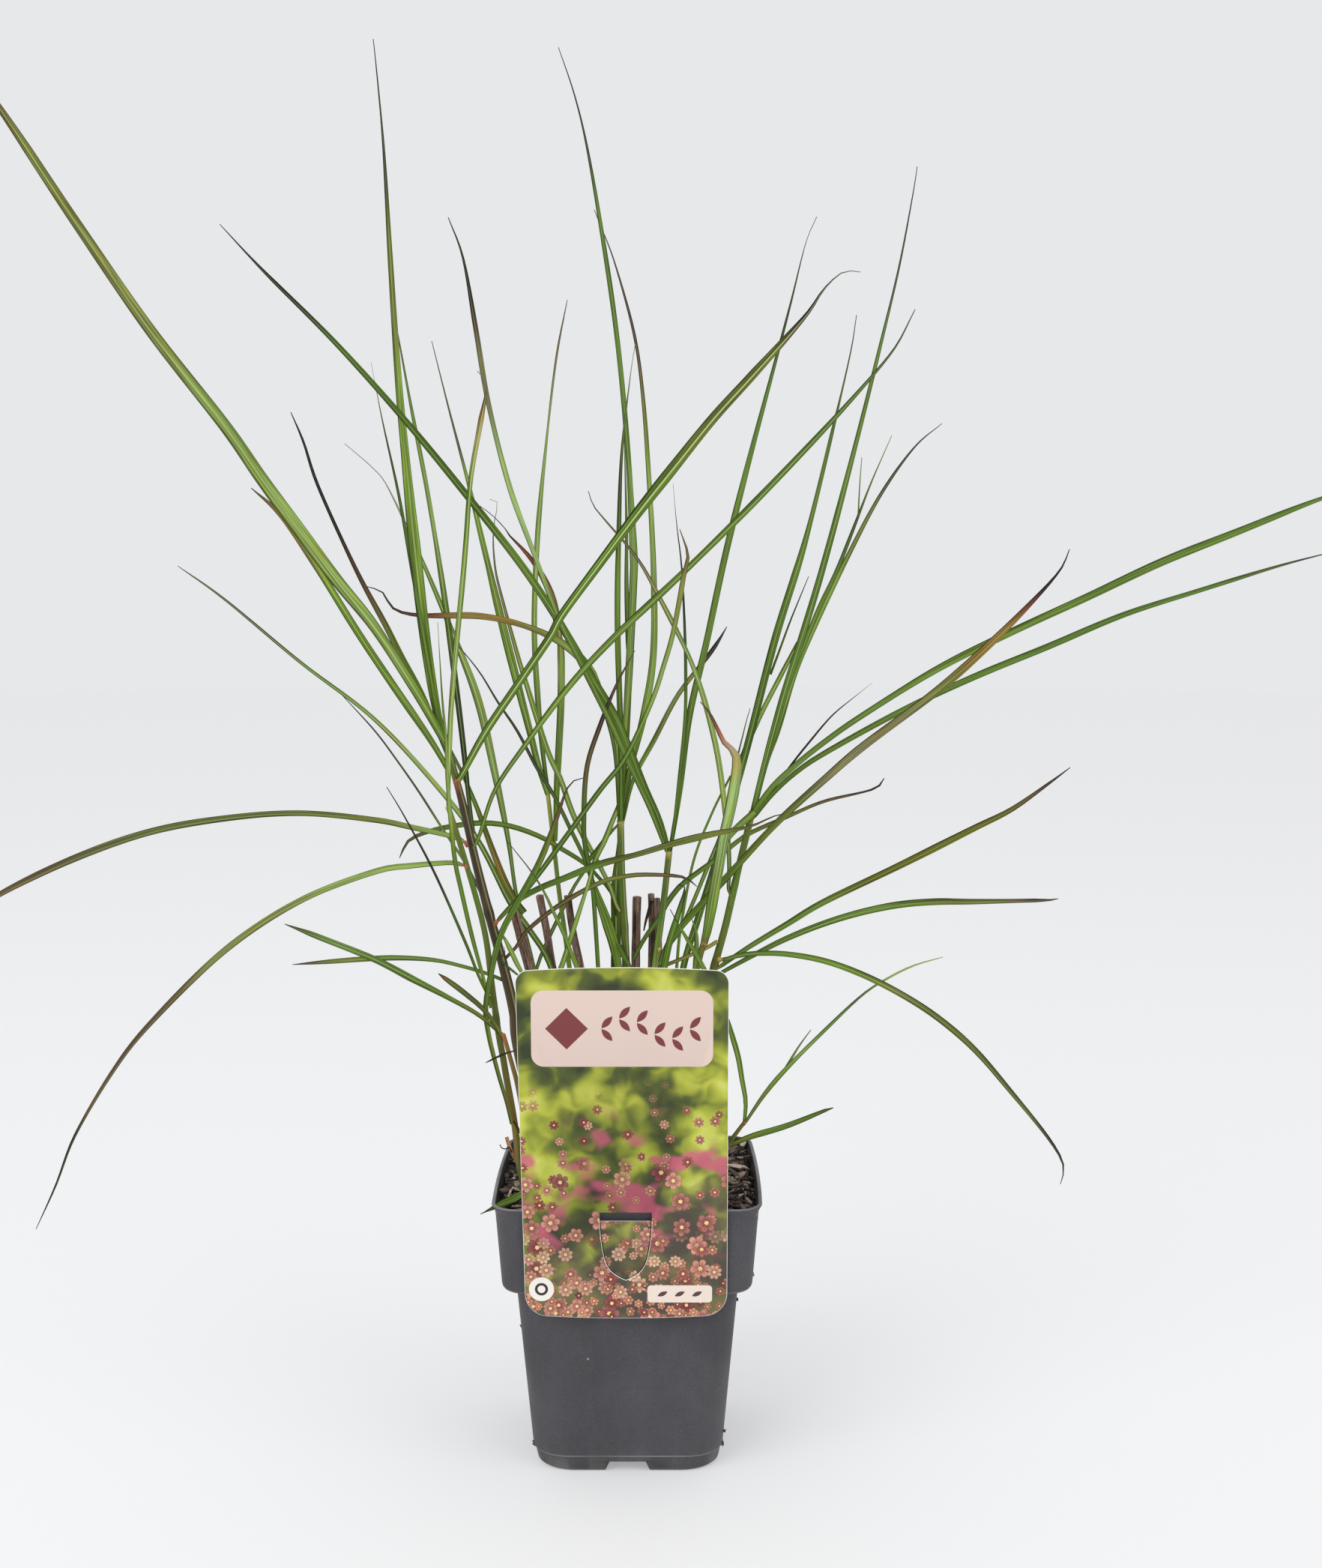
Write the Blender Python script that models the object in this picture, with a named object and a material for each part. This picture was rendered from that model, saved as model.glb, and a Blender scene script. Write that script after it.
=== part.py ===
"""Potted miscanthus grass clump: a square nursery pot, its soil, a hanging label, old cut canes,
green stems and arching leaf blades.

Metres, +Z up, +X to the right and -Y to the front. The origin is the middle of the pot's foot, on
the surface that it stands on. The courses of stems and leaves are written as points of a front view,
in pixels, and every course also has a depth in metres, so that the clump is round from all sides.
"""
import math

import bmesh
import bpy
from mathutils import Vector, noise

MM = 0.001
GAP = 0.3 * MM            # between pieces that touch

# Pot: a standard 11 cm square nursery pot, with a collar under a flared lip.
RIM_WIDTH = 109.4 * MM
POT_HEIGHT = 117 * MM
LIP_HEIGHT = 4.6 * MM     # the collar flares out over this height
LIP_PROUD = 1.4 * MM
SIDE_BOW = 1.4 * MM       # how far the soil has pushed out the left and right walls at the rim
COLLAR_HEIGHT = 36.5 * MM
COLLAR_FOOT_WIDTH = 103 * MM
COLLAR_ROUND = 2.2 * MM   # height of the curve under the collar
BODY_TOP_WIDTH = 91.6 * MM
BODY_FOOT_WIDTH = 79.6 * MM
FOOT_WIDTH = 75.4 * MM
CREASE_HEIGHT = 7.2 * MM
CREASE_DEPTH = 0.7 * MM
WALL = 1.1 * MM
TOP_CORNER = 10 * MM      # corner radius of the collar and of the body's top
FOOT_CORNER = 15.5 * MM
INNER_FLOOR = 6.6 * MM
UNDER_FLOOR = 3.0 * MM    # the floor is raised above the foot rim
FOOT_RIM = 7 * MM         # width of the foot rim that the pot stands on
NOTCH_WIDTH = 17 * MM
NOTCH_HEIGHT = 4.6 * MM
NOTCH_DEPTH = 3 * MM
DRAIN_RADIUS = 4 * MM
DRAIN_OFFSET = 22 * MM

# Soil surface, how deep its hollows are, and how far from a stem they reach that depth.
SOIL_TOP = 114 * MM
SOIL_DIP = 2.2 * MM
SOIL_CALM = 9 * MM
SOIL_LUMPS = 110          # lumps of the surface to the metre

# Label: a plate that leans back against the collar, held by a tab over the rim.
LABEL_WIDTH = 84.4 * MM
LABEL_HEIGHT = 143.4 * MM
LABEL_BOTTOM = 72.8 * MM
LABEL_THICKNESS = 0.6 * MM
LABEL_LEAN = math.radians(4)
LABEL_X = -1.5 * MM
LABEL_TOP_RADIUS = 5 * MM
LABEL_FOOT_RADIUS = 9 * MM
LABEL_ARCH = 1.5 * MM
LABEL_TAPER = 2.6 * MM    # the left edge draws in by this towards the foot
LABEL_TOUCH = 1.6 * MM    # the plate touches the lip this far under the pot's top
WINDOW_X = -0.3 * MM
WINDOW_WIDTH = 21 * MM
WINDOW_HEIGHT = 3.6 * MM
WINDOW_DROP = 0.6 * MM    # from the pot's top to the window
TAB_WIDTH = 19 * MM
TAB_RISE = 0.5 * MM       # of the tab over the lip
TAB_DROP = 2.2 * MM       # of the tab's end under the pot's top
TAB_REACH = 4.7 * MM      # of the tab behind the rim's front

# The front view: a 1764 x 2092 picture from a camera in front of the pot, slightly above it.
VIEW_CENTRE_U, VIEW_CENTRE_V = 882, 1046
VIEW_FOCAL = 2600
VIEW_DISTANCE = 0.819
VIEW_HEIGHT = 0.3636
VIEW_SIDE = 0.0139
VIEW_PITCH = math.radians(5.54)

# How a blade or stem leaves its plane: slowly at first, then faster.
DEPTH_POWER = 1.6
# A blade's thickness at its keel, and how far the keel lies under the edges, as a share of its width.
BLADE_THICKNESS = 0.55 * MM
KEEL_SHARE = 0.16
SEGMENT = 20 * MM         # length of blade or stem from ring to ring
STEM_SEGMENT = 17 * MM
STEM_SIDES = 7
CURVE_STEPS = 12          # fine steps of a course between two of its points
CORNER_STEPS = 4          # steps of a round corner of the pot

# Stems: course from the soil up, depth at foot and top (mm), radius at foot and top (mm).
STEMS = {
    "stem_1": dict(course=[(733, 1589), (692, 1400), (686, 1350), (672, 1290), (655, 1228), (635, 1150),
                           (618, 1075), (606, 1030), (598, 1001)],
                   depth=(-6, -14), radius=(2.8, 1.4)),
    "stem_2": dict(course=[(699, 1586), (692, 1548), (688, 1510), (682, 1472), (676, 1440), (671, 1410),
                           (665, 1378), (657, 1320), (648, 1250), (633, 1190), (612, 1120), (599, 1081)],
                   depth=(-16, -22), radius=(1.5, 1.2)),
    "stem_3": dict(course=[(793, 1572), (770, 1370), (755, 1255), (746, 1190), (739, 1128), (731, 1066)],
                   depth=(12, 14), radius=(1.2, 0.9)),
    "stem_4": dict(course=[(847, 1583), (840, 1400), (834, 1250), (831, 1200), (829, 1150), (828, 1102)],
                   depth=(0, 0), radius=(2.0, 1.5)),
    "stem_5": dict(course=[(846, 1593), (862, 1400), (874, 1290), (882, 1230), (886, 1200), (893, 1143)],
                   depth=(-11, -10), radius=(1.7, 1.3)),
    "stem_6": dict(course=[(889, 1598), (925, 1400), (952, 1293), (968, 1235), (985, 1160),
                           (1003, 1090)],
                   depth=(-16, -16), radius=(1.9, 1.4)),
    "stem_7": dict(course=[(880, 1608), (908, 1400), (930, 1292), (940, 1262)],
                   depth=(-28, -24), radius=(1.5, 1.3)),
    "stem_8": dict(course=[(880, 1559), (893, 1400), (903, 1290), (908, 1240), (925, 1150), (950, 1085),
                           (975, 1035)],
                   depth=(26, 42), radius=(0.9, 0.5)),
    "side_shoot_left": dict(course=[(707, 1595), (699, 1500), (691, 1450), (681, 1412), (672, 1381)],
                            depth=(-24, -26), radius=(1.2, 0.9)),
    "side_shoot_right": dict(course=[(930, 1600), (955, 1560), (972, 1527), (995, 1495)],
                             depth=(-18, -14), radius=(1.2, 0.8)),
}

# Old cut canes, in the same terms.
CANES = {
    "old_cane_1": dict(course=[(768, 1583), (735, 1400), (708, 1297), (695, 1250), (685, 1213)],
                       depth=(0, 0), radius=(2.7, 2.0)),
    "old_cane_2": dict(course=[(785, 1562), (755, 1400), (737, 1290), (728, 1235), (720, 1195)],
                       depth=(22, 16), radius=(1.7, 1.6)),
    "old_cane_3": dict(course=[(825, 1561), (795, 1400), (775, 1292), (765, 1245), (757, 1195)],
                       depth=(25, 27), radius=(1.7, 1.6)),
    "old_cane_4": dict(course=[(845, 1553), (847, 1400), (848, 1291), (849, 1240), (850, 1197)],
                       depth=(32, 28), radius=(1.7, 1.6)),
}

# Long blades: course from base to tip, depth at base and tip (mm), width (mm), and roll at base and
# tip (degrees): 0 faces the front, 90 lies flat.
BLADES = {
    "leaf_01": dict(course=[(596, 994), (575, 957), (550, 915), (500, 837), (450, 775), (400, 708),
                            (350, 640), (300, 568), (200, 440), (100, 295), (0, 145), (-75, 45)],
                    depth=(-16, -70), width=6.5, roll=(8, 25)),
    "leaf_02": dict(course=[(602, 1034), (575, 988), (525, 915), (475, 840), (425, 760), (375, 688),
                            (335, 651)],
                    depth=(-19, 20), width=3.6, roll=(10, 35)),
    "leaf_03": dict(course=[(818, 1583), (765, 1400), (735, 1290), (706, 1240), (680, 1203), (640, 1125),
                            (590, 1057), (500, 960), (400, 883), (300, 800), (237, 755)],
                    depth=(-3, 112), width=2.8, roll=(10, 45)),
    "leaf_04": dict(course=[(655, 1345), (645, 1305), (630, 1250), (616, 1190), (606, 1140), (597, 1040),
                            (595, 985), (590, 930), (584, 830)],
                    depth=(-20.5, -45), width=2.4, roll=(10, 10)),
    "leaf_05": dict(course=[(616, 1121), (600, 1115), (550, 1104), (500, 1094), (400, 1085), (300, 1092),
                            (200, 1110), (100, 1145), (0, 1193), (-60, 1236), (-135, 1297)],
                    depth=(-13, -10), width=4.6, roll=(35, 60)),
    "leaf_06": dict(course=[(614, 1153), (600, 1151), (550, 1155), (500, 1163), (400, 1202), (300, 1268),
                            (200, 1366), (150, 1430), (100, 1515), (75, 1580), (48, 1640)],
                    depth=(-22, -50), width=4.4, roll=(35, 55)),
    "leaf_07": dict(course=[(822, 1215), (815, 1190), (800, 1172), (780, 1152), (750, 1133), (720, 1116),
                            (680, 1102), (640, 1098), (600, 1103), (570, 1110), (545, 1122),
                            (533, 1145)],
                    depth=(-3, -3), width=3.4, roll=(20, 40)),
    "leaf_08": dict(course=[(595, 990), (583, 950), (567, 850), (550, 700), (540, 600), (531, 500),
                            (521, 350), (512, 200), (503, 100), (498, 52)],
                    depth=(-12, 40), width=4.6, roll=(5, 20)),
    "leaf_09": dict(course=[(751, 1566), (735, 1400), (712, 1290), (690, 1200), (678, 1120), (660, 1030),
                            (638, 935), (606, 850), (564, 750), (520, 655), (500, 627), (460, 592)],
                    depth=(18, 90), width=2.9, roll=(10, 25)),
    "leaf_10": dict(course=[(632, 1112), (626, 1070), (617, 985), (604, 880), (592, 790), (571, 660),
                            (548, 540), (528, 430)],
                    depth=(-10.2, 60), width=2.4, roll=(5, 15)),
    "leaf_11": dict(course=[(731, 1060), (718, 1020), (708, 980), (695, 930), (672, 840), (648, 740),
                            (625, 645), (600, 550), (576, 455)],
                    depth=(13, 35), width=3.3, roll=(5, 25)),
    "leaf_12": dict(course=[(598, 1075), (600, 990), (603, 930), (610, 850), (617, 780), (622, 720),
                            (628, 640), (640, 570), (649, 515), (637, 495)],
                    depth=(-22, -55), width=2.7, roll=(5, 15)),
    "leaf_13": dict(course=[(890, 1136), (868, 1080), (845, 1030), (815, 965), (790, 915), (770, 875),
                            (748, 830), (715, 745), (680, 650), (652, 540), (635, 440), (618, 345),
                            (598, 290)],
                    depth=(-11.8, -60), width=2.8, roll=(5, 25)),
    "leaf_14": dict(course=[(892, 1136), (880, 1095), (860, 1050), (840, 1000), (820, 955), (790, 905),
                            (760, 853), (735, 812), (700, 760), (650, 695), (550, 572), (450, 460),
                            (350, 360), (293, 299)],
                    depth=(-10.2, -15), width=3.7, roll=(5, 35)),
    "leaf_15": dict(course=[(828, 1096), (824, 1010), (815, 965), (800, 925), (785, 890), (750, 858),
                            (700, 835), (640, 822), (560, 821), (525, 812), (510, 790), (487, 782)],
                    depth=(-1.2, 2), width=3.4, roll=(5, 45)),
    "leaf_16": dict(course=[(741, 1122), (743, 1050), (748, 950), (748, 900), (748, 865), (742, 830),
                            (720, 780), (690, 730), (655, 680)],
                    depth=(11.4, 45), width=3.5, roll=(5, 25)),
    "leaf_17": dict(course=[(732, 1060), (725, 1010), (719, 950), (713, 840), (717, 720), (728, 600),
                            (742, 480), (757, 400)],
                    depth=(14.8, 75), width=2.6, roll=(5, 15)),
    "leaf_18": dict(course=[(822, 1207), (815, 1185), (800, 1155), (778, 1115), (762, 1080), (748, 1040),
                            (730, 1000), (703, 915), (688, 865), (668, 795), (658, 730), (660, 700),
                            (653, 666)],
                    depth=(0, 25), width=2.4, roll=(5, 25)),
    "leaf_19": dict(course=[(616, 1034), (640, 990), (660, 958), (700, 900), (735, 848), (750, 820),
                            (800, 752), (850, 685), (900, 622), (950, 560), (1000, 505), (1050, 450),
                            (1080, 415), (1100, 385), (1125, 363), (1148, 363)],
                    depth=(-17, -110), width=4.4, roll=(8, 30)),
    "leaf_20": dict(course=[(640, 1114), (660, 1055), (700, 995), (760, 915), (820, 850), (900, 775),
                            (980, 697), (1060, 615), (1130, 540), (1190, 470), (1215, 425), (1221, 413)],
                    depth=(-16.5, -100), width=3.0, roll=(8, 30)),
    "leaf_21": dict(course=[(672, 1234), (690, 1205), (720, 1165), (760, 1110), (800, 1055), (835, 1010),
                            (870, 935), (885, 890), (897, 850), (906, 805), (913, 765), (918, 740),
                            (907, 706)],
                    depth=(-16.5, -60), width=2.2, roll=(5, 20)),
    "leaf_22": dict(course=[(683, 1500), (676, 1470), (667, 1440), (659, 1410), (652, 1380), (648, 1345),
                            (655, 1300), (668, 1248),
                            (690, 1205), (720, 1150), (745, 1090), (755, 1060), (768, 1039),
                            (778, 1039)],
                    depth=(-20, -38), width=2.4, roll=(5, 15)),
    "leaf_23": dict(course=[(818, 1590), (805, 1400), (795, 1240), (790, 1175), (781, 1130), (779, 1095),
                            (783, 1025), (800, 970), (822, 915), (847, 868)],
                    depth=(-8, -14), width=2.0, roll=(5, 20)),
    "leaf_24": dict(course=[(829, 1096), (830, 1050), (838, 920), (845, 780), (845, 730), (836, 580),
                            (822, 440), (803, 310), (783, 195), (766, 125), (745, 63)],
                    depth=(0, 20), width=3.2, roll=(3, 15)),
    "leaf_25": dict(course=[(829, 1096), (828, 980), (824, 830), (826, 700), (830, 600), (842, 495),
                            (848, 458)],
                    depth=(-2.4, -30), width=2.5, roll=(3, 15)),
    "leaf_26": dict(course=[(829, 1096), (840, 1030), (860, 950), (872, 870), (872, 760), (866, 640),
                            (858, 530), (846, 445), (820, 350), (800, 298), (793, 280)],
                    depth=(1.2, 60), width=3.0, roll=(3, 15)),
    "leaf_27": dict(course=[(894, 1136), (908, 1050), (920, 955), (942, 860), (968, 740), (998, 620),
                            (1030, 500), (1055, 405), (1075, 325), (1090, 289)],
                    depth=(-8.8, 50), width=2.8, roll=(3, 20)),
    "leaf_28": dict(course=[(972, 1187), (973, 1150), (969, 1095), (955, 995), (925, 890), (875, 788),
                            (848, 742), (810, 697), (792, 675), (785, 655)],
                    depth=(-16, -5), width=2.3, roll=(5, 25)),
    "leaf_29": dict(course=[(831, 1096), (845, 1040), (873, 987), (905, 927), (945, 875), (960, 853),
                            (970, 836)],
                    depth=(2.4, 75), width=2.2, roll=(3, 25)),
    "leaf_30": dict(course=[(940, 1256), (946, 1240), (952, 1210), (958, 1180), (965, 1140), (972, 1100),
                            (984, 1030), (983, 1005), (965, 985), (950, 960), (935, 935)],
                    depth=(-24, -35), width=4.0, roll=(5, 30)),
    "leaf_31": dict(course=[(1004, 1084), (1020, 1022), (1045, 930), (1070, 850), (1100, 750),
                            (1140, 600), (1175, 460), (1200, 355), (1218, 260), (1224, 222)],
                    depth=(-15.4, 20), width=3.2, roll=(3, 15)),
    "leaf_32": dict(course=[(872, 1588), (892, 1400), (912, 1290), (930, 1230), (955, 1150), (970, 1095),
                            (1000, 985), (1035, 850), (1075, 720), (1112, 570), (1135, 470),
                            (1143, 420)],
                    depth=(-5, 60), width=3.3, roll=(3, 15)),
    "leaf_33": dict(course=[(1006, 1084), (1022, 1020), (1038, 975), (1060, 900), (1085, 840),
                            (1130, 745), (1175, 660), (1220, 597), (1257, 565)],
                    depth=(-14.2, 90), width=2.3, roll=(3, 25)),
    "leaf_34": dict(course=[(871, 1574), (878, 1400), (880, 1290), (905, 1245), (920, 1215), (945, 1155),
                            (965, 1105), (985, 1025), (1012, 960), (1040, 905), (1053, 880)],
                    depth=(8, 60), width=2.2, roll=(3, 20)),
    "leaf_35": dict(course=[(1005, 1084), (1030, 1050), (1060, 1022), (1100, 990), (1150, 955),
                            (1250, 893), (1350, 843), (1450, 797), (1550, 750), (1650, 710),
                            (1764, 665), (1850, 640)],
                    depth=(-17.8, -60), width=4.6, roll=(8, 50)),
    "leaf_36": dict(course=[(1008, 1087), (1030, 1060), (1060, 1032), (1100, 1005), (1200, 950),
                            (1300, 903), (1400, 862), (1500, 820), (1600, 788), (1700, 757),
                            (1764, 740), (1785, 736)],
                    depth=(-16.4, 40), width=4.2, roll=(8, 50)),
    "leaf_37": dict(course=[(882, 1283), (890, 1262), (910, 1235), (940, 1202), (970, 1170),
                            (1020, 1115), (1050, 1085), (1100, 1040), (1150, 997), (1250, 922),
                            (1320, 860), (1380, 800), (1415, 760), (1427, 733)],
                    depth=(-15, -90), width=4.0, roll=(5, 35)),
    "leaf_38": dict(course=[(845, 1280), (860, 1252), (877, 1228), (890, 1205), (905, 1185), (920, 1172),
                            (950, 1150), (975, 1130), (1000, 1112), (1050, 1090), (1100, 1069),
                            (1165, 1053), (1180, 1038)],
                    depth=(0, 20), width=2.5, roll=(5, 35)),
    "leaf_39": dict(course=[(963, 1288), (1000, 1263), (1050, 1233), (1100, 1203), (1200, 1155),
                            (1300, 1105), (1350, 1080), (1400, 1045), (1428, 1024)],
                    depth=(-17, -50), width=4.0, roll=(10, 50)),
    "leaf_40": dict(course=[(962, 1298), (1010, 1272), (1050, 1252), (1100, 1232), (1150, 1217),
                            (1200, 1207), (1250, 1203), (1300, 1203), (1397, 1201), (1412, 1199)],
                    depth=(-14.5, 30), width=3.8, roll=(10, 50)),
    "leaf_41": dict(course=[(965, 1281), (985, 1275), (1010, 1272), (1050, 1273), (1100, 1282),
                            (1150, 1300), (1200, 1325), (1250, 1357), (1300, 1400), (1350, 1458),
                            (1400, 1520), (1419, 1555), (1415, 1580)],
                    depth=(-19.5, -60), width=4.2, roll=(10, 50)),
    "leaf_42": dict(course=[(668, 1224), (690, 1202), (720, 1185), (750, 1173), (800, 1153), (850, 1140),
                            (900, 1125), (950, 1113), (1000, 1103), (1030, 1090), (1045, 1086)],
                    depth=(-12, -45), width=4.2, roll=(10, 45)),
}

# Thin or young blades, one piece with the stem that they grow from.
YOUNG_BLADES = {
    "stem_1": [
        dict(course=[(598, 1010), (565, 930), (535, 875), (515, 835), (475, 760), (425, 650), (405, 590),
                     (388, 550)], depth=(-13.5, 0), width=2.0, roll=(5, 25)),
        dict(course=[(642, 1192), (620, 1150), (590, 1105), (560, 1058), (530, 1015), (500, 975),
                     (457, 928)],
             depth=(-10, 40), width=1.7, roll=(5, 25)),
        dict(course=[(672, 1308), (650, 1299), (620, 1290), (580, 1281), (530, 1278),
                     (480, 1280), (390, 1287)],
             depth=(-9, 25), width=3.2, roll=(20, 50)),
        dict(course=[(671, 1282), (690, 1262), (705, 1240), (750, 1205), (800, 1178),
                     (830, 1170), (860, 1167), (910, 1170),
                     (930, 1183)], depth=(-9, -40), width=2.3, roll=(10, 40)),
    ],
    "stem_2": [
        dict(course=[(660, 1345), (640, 1305), (620, 1255), (580, 1165), (540, 1090), (516, 1050)],
             depth=(-18, -60), width=1.8, roll=(5, 20)),
    ],
    "stem_4": [
        dict(course=[(832, 1290), (815, 1240), (800, 1200), (780, 1145), (762, 1108),
                     (740, 1063), (715, 1022), (690, 975), (665, 938), (640, 897),
                     (612, 862)], depth=(-1, 0), width=1.9, roll=(5, 20)),
    ],
    "stem_6": [
        dict(course=[(1002, 1094), (1030, 1055), (1060, 1015), (1080, 990), (1110, 955),
                     (1140, 930), (1164, 911)],
             depth=(-15, 40), width=1.5, roll=(5, 20)),
    ],
    "side_shoot_left": [
        dict(course=[(673, 1383), (640, 1355), (600, 1332), (550, 1306), (500, 1280),
                     (430, 1252), (380, 1233)],
             depth=(-26, -70), width=3.6, roll=(10, 40)),
        dict(course=[(675, 1390), (650, 1352), (620, 1325), (585, 1299)],
             depth=(-26, -36), width=2.6, roll=(10, 30)),
    ],
    "side_shoot_right": [
        dict(course=[(993, 1500), (1020, 1460), (1050, 1425), (1100, 1375), (1150, 1328), (1185, 1305),
                     (1220, 1288), (1258, 1277)], depth=(-14, -10), width=2.6, roll=(5, 30)),
        dict(course=[(993, 1500), (995, 1470), (990, 1440), (985, 1410), (975, 1375), (972, 1360)],
             depth=(-14, -20), width=2.0, roll=(5, 10)),
        dict(course=[(970, 1530), (1000, 1517), (1050, 1502), (1100, 1482), (1112, 1478)],
             depth=(-15, -25), width=2.8, roll=(10, 40)),
    ],
}

STEM_LOOKS = {"stem_1": "stem_1"}     # stem_1 has turned brown, and the others are green
COLOURS = {
    "pot": ((0.055, 0.058, 0.063), 0.55),
    "soil": ((0.075, 0.045, 0.028), 0.95),
    "label": ((0.42, 0.45, 0.18), 0.35),
    "old_cane": ((0.20, 0.13, 0.10), 0.9),
    "stem_1": ((0.17, 0.10, 0.08), 0.5),
    "stem": ((0.16, 0.26, 0.07), 0.5),
    "leaf": ((0.13, 0.27, 0.06), 0.45),
}


def clear_scene():
    for thing in list(bpy.data.objects):
        bpy.data.objects.remove(thing)


def material(name, look):
    colour, roughness = COLOURS[look]
    made = bpy.data.materials.new(name)
    made.use_nodes = True
    shader = made.node_tree.nodes["Principled BSDF"]
    shader.inputs["Base Color"].default_value = (*colour, 1)
    shader.inputs["Roughness"].default_value = roughness
    shader.inputs["Metallic"].default_value = 0
    return made


def add_object(name, mesh_builder, look, smooth_angle=None):
    """Turn a bmesh into a named object with its own material."""
    bmesh.ops.recalc_face_normals(mesh_builder, faces=mesh_builder.faces)
    mesh = bpy.data.meshes.new(name)
    mesh_builder.to_mesh(mesh)
    mesh_builder.free()
    if smooth_angle:
        mesh.shade_smooth()
        mesh.set_sharp_from_angle(angle=smooth_angle)
    made = bpy.data.objects.new(name, mesh)
    made.data.materials.append(material(name, look))
    bpy.context.collection.objects.link(made)
    return made


def boolean(target, tool, operation):
    """Join a tool with a target or cut it away; the tool itself stays out of the model."""
    tool.hide_render = True
    tool.display_type = "WIRE"
    change = target.modifiers.new(operation.lower(), "BOOLEAN")
    change.operation = operation
    change.object = tool


def place(u, v, depth):
    """The point of the front view's pixel (u, v) that lies at this depth behind the pot's middle."""
    side = (u - VIEW_CENTRE_U) / VIEW_FOCAL
    rise = (VIEW_CENTRE_V - v) / VIEW_FOCAL
    ray = Vector((side,
                  math.cos(VIEW_PITCH) + rise * math.sin(VIEW_PITCH),
                  rise * math.cos(VIEW_PITCH) - math.sin(VIEW_PITCH)))
    return Vector((VIEW_SIDE, -VIEW_DISTANCE, VIEW_HEIGHT)) + ray * ((VIEW_DISTANCE + depth) / ray.y)


def course_points(course, depth):
    """World points of a course whose depth grows from the first value to the second (mm)."""
    run = [0.0]
    for (u0, v0), (u1, v1) in zip(course, course[1:]):
        run.append(run[-1] + math.hypot(u1 - u0, v1 - v0))
    first, last = depth
    return [place(u, v, (first + (last - first) * (r / run[-1]) ** DEPTH_POWER) * MM)
            for (u, v), r in zip(course, run)]


def smooth_path(points, steps):
    """A smooth curve through the points, cut into equal steps."""
    ends = [points[0] * 2 - points[1]] + points + [points[-1] * 2 - points[-2]]
    fine = []
    for a, b, c, d in zip(ends, ends[1:], ends[2:], ends[3:]):
        for k in range(CURVE_STEPS):
            t = k / CURVE_STEPS
            fine.append(((b * 2) + (c - a) * t + (a * 2 - b * 5 + c * 4 - d) * t * t
                         + (b * 3 - a - c * 3 + d) * t ** 3) / 2)
    fine.append(points[-1])
    run = [0.0]
    for p, q in zip(fine, fine[1:]):
        run.append(run[-1] + (q - p).length)
    path, k = [], 0
    for step in range(steps + 1):
        goal = run[-1] * step / steps
        while k < len(fine) - 2 and run[k + 1] < goal:
            k += 1
        share = (goal - run[k]) / max(run[k + 1] - run[k], 1e-9)
        path.append(fine[k].lerp(fine[k + 1], min(share, 1)))
    return path


def path_length(points):
    return sum((q - p).length for p, q in zip(points, points[1:]))


def tangents(path):
    ends = [path[0]] + path + [path[-1]]
    return [(c - a).normalized() for a, c in zip(ends, ends[2:])]


def blade_mesh(blade, builder):
    """A keeled blade: a closed solid with sharp edges, a thin keel and a pointed tip."""
    points = course_points(blade["course"], blade["depth"])
    points[0].z = max(points[0].z, SOIL_TOP + 1 * MM)
    steps = min(max(round(path_length(points) / SEGMENT), 6), 16)
    path = smooth_path(points, steps)
    heading = 1 if path[-1].x >= path[0].x else -1
    rings = []
    for k, (point, along) in enumerate(zip(path[:-1], tangents(path))):
        share = k / steps
        roll = math.radians(blade["roll"][0] + (blade["roll"][1] - blade["roll"][0]) * share)
        upper = Vector((-along.z * heading, 0, along.x * heading))
        face = Vector((0, -1, 0)) * math.cos(roll) + upper.normalized() * math.sin(roll)
        face = (face - along * face.dot(along)).normalized()
        across = along.cross(face)
        half = blade["width"] * MM / 2 * blade_profile(share)
        keel = face * (-2 * half * KEEL_SHARE)
        skin = face * (BLADE_THICKNESS / 2 * (1 - 0.6 * share))
        rings.append([builder.verts.new(p) for p in (point + across * half, point + keel + skin,
                                                     point - across * half, point + keel - skin)])
    tip = builder.verts.new(path[-1])
    for ring, after in zip(rings, rings[1:]):
        bridge(builder, ring, after)
    builder.faces.new(reversed(rings[0]))
    for k in range(4):
        builder.faces.new((rings[-1][k], rings[-1][(k + 1) % 4], tip))


def blade_profile(share):
    """Width along a blade: narrow at its base, full soon after, then a long point."""
    base = 0.6 + 0.4 * min(share / 0.2, 1)
    point = 1 if share < 0.45 else 1 - ((share - 0.45) / 0.55) ** 1.5
    return base * point


def bridge(builder, ring, after):
    count = len(ring)
    for k in range(count):
        builder.faces.new((ring[k], ring[(k + 1) % count], after[(k + 1) % count], after[k]))


def stem_mesh(stem, builder):
    """A stem or cane: a tube that stands on the soil and thins towards its cut or leafy top."""
    points = course_points(stem["course"], stem["depth"])
    points[0].z = SOIL_TOP + GAP
    steps = min(max(round(path_length(points) / STEM_SEGMENT), 3), 10)
    path = smooth_path(points, steps)
    foot, top = stem["radius"]
    rings = []
    for k, (point, along) in enumerate(zip(path, tangents(path))):
        radius = (foot + (top - foot) * k / steps) * MM
        side = along.cross(Vector((0, 1, 0))).normalized()
        front = side.cross(along)
        ring = [point + (side * math.cos(turn) + front * math.sin(turn)) * radius
                for turn in (math.tau * n / STEM_SIDES for n in range(STEM_SIDES))]
        if k == 0:
            ring = [Vector((p.x, p.y, SOIL_TOP + GAP)) for p in ring]
        rings.append([builder.verts.new(p) for p in ring])
    for ring, after in zip(rings, rings[1:]):
        bridge(builder, ring, after)
    builder.faces.new(reversed(rings[0]))
    builder.faces.new(rings[-1])
    return points[0]


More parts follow.
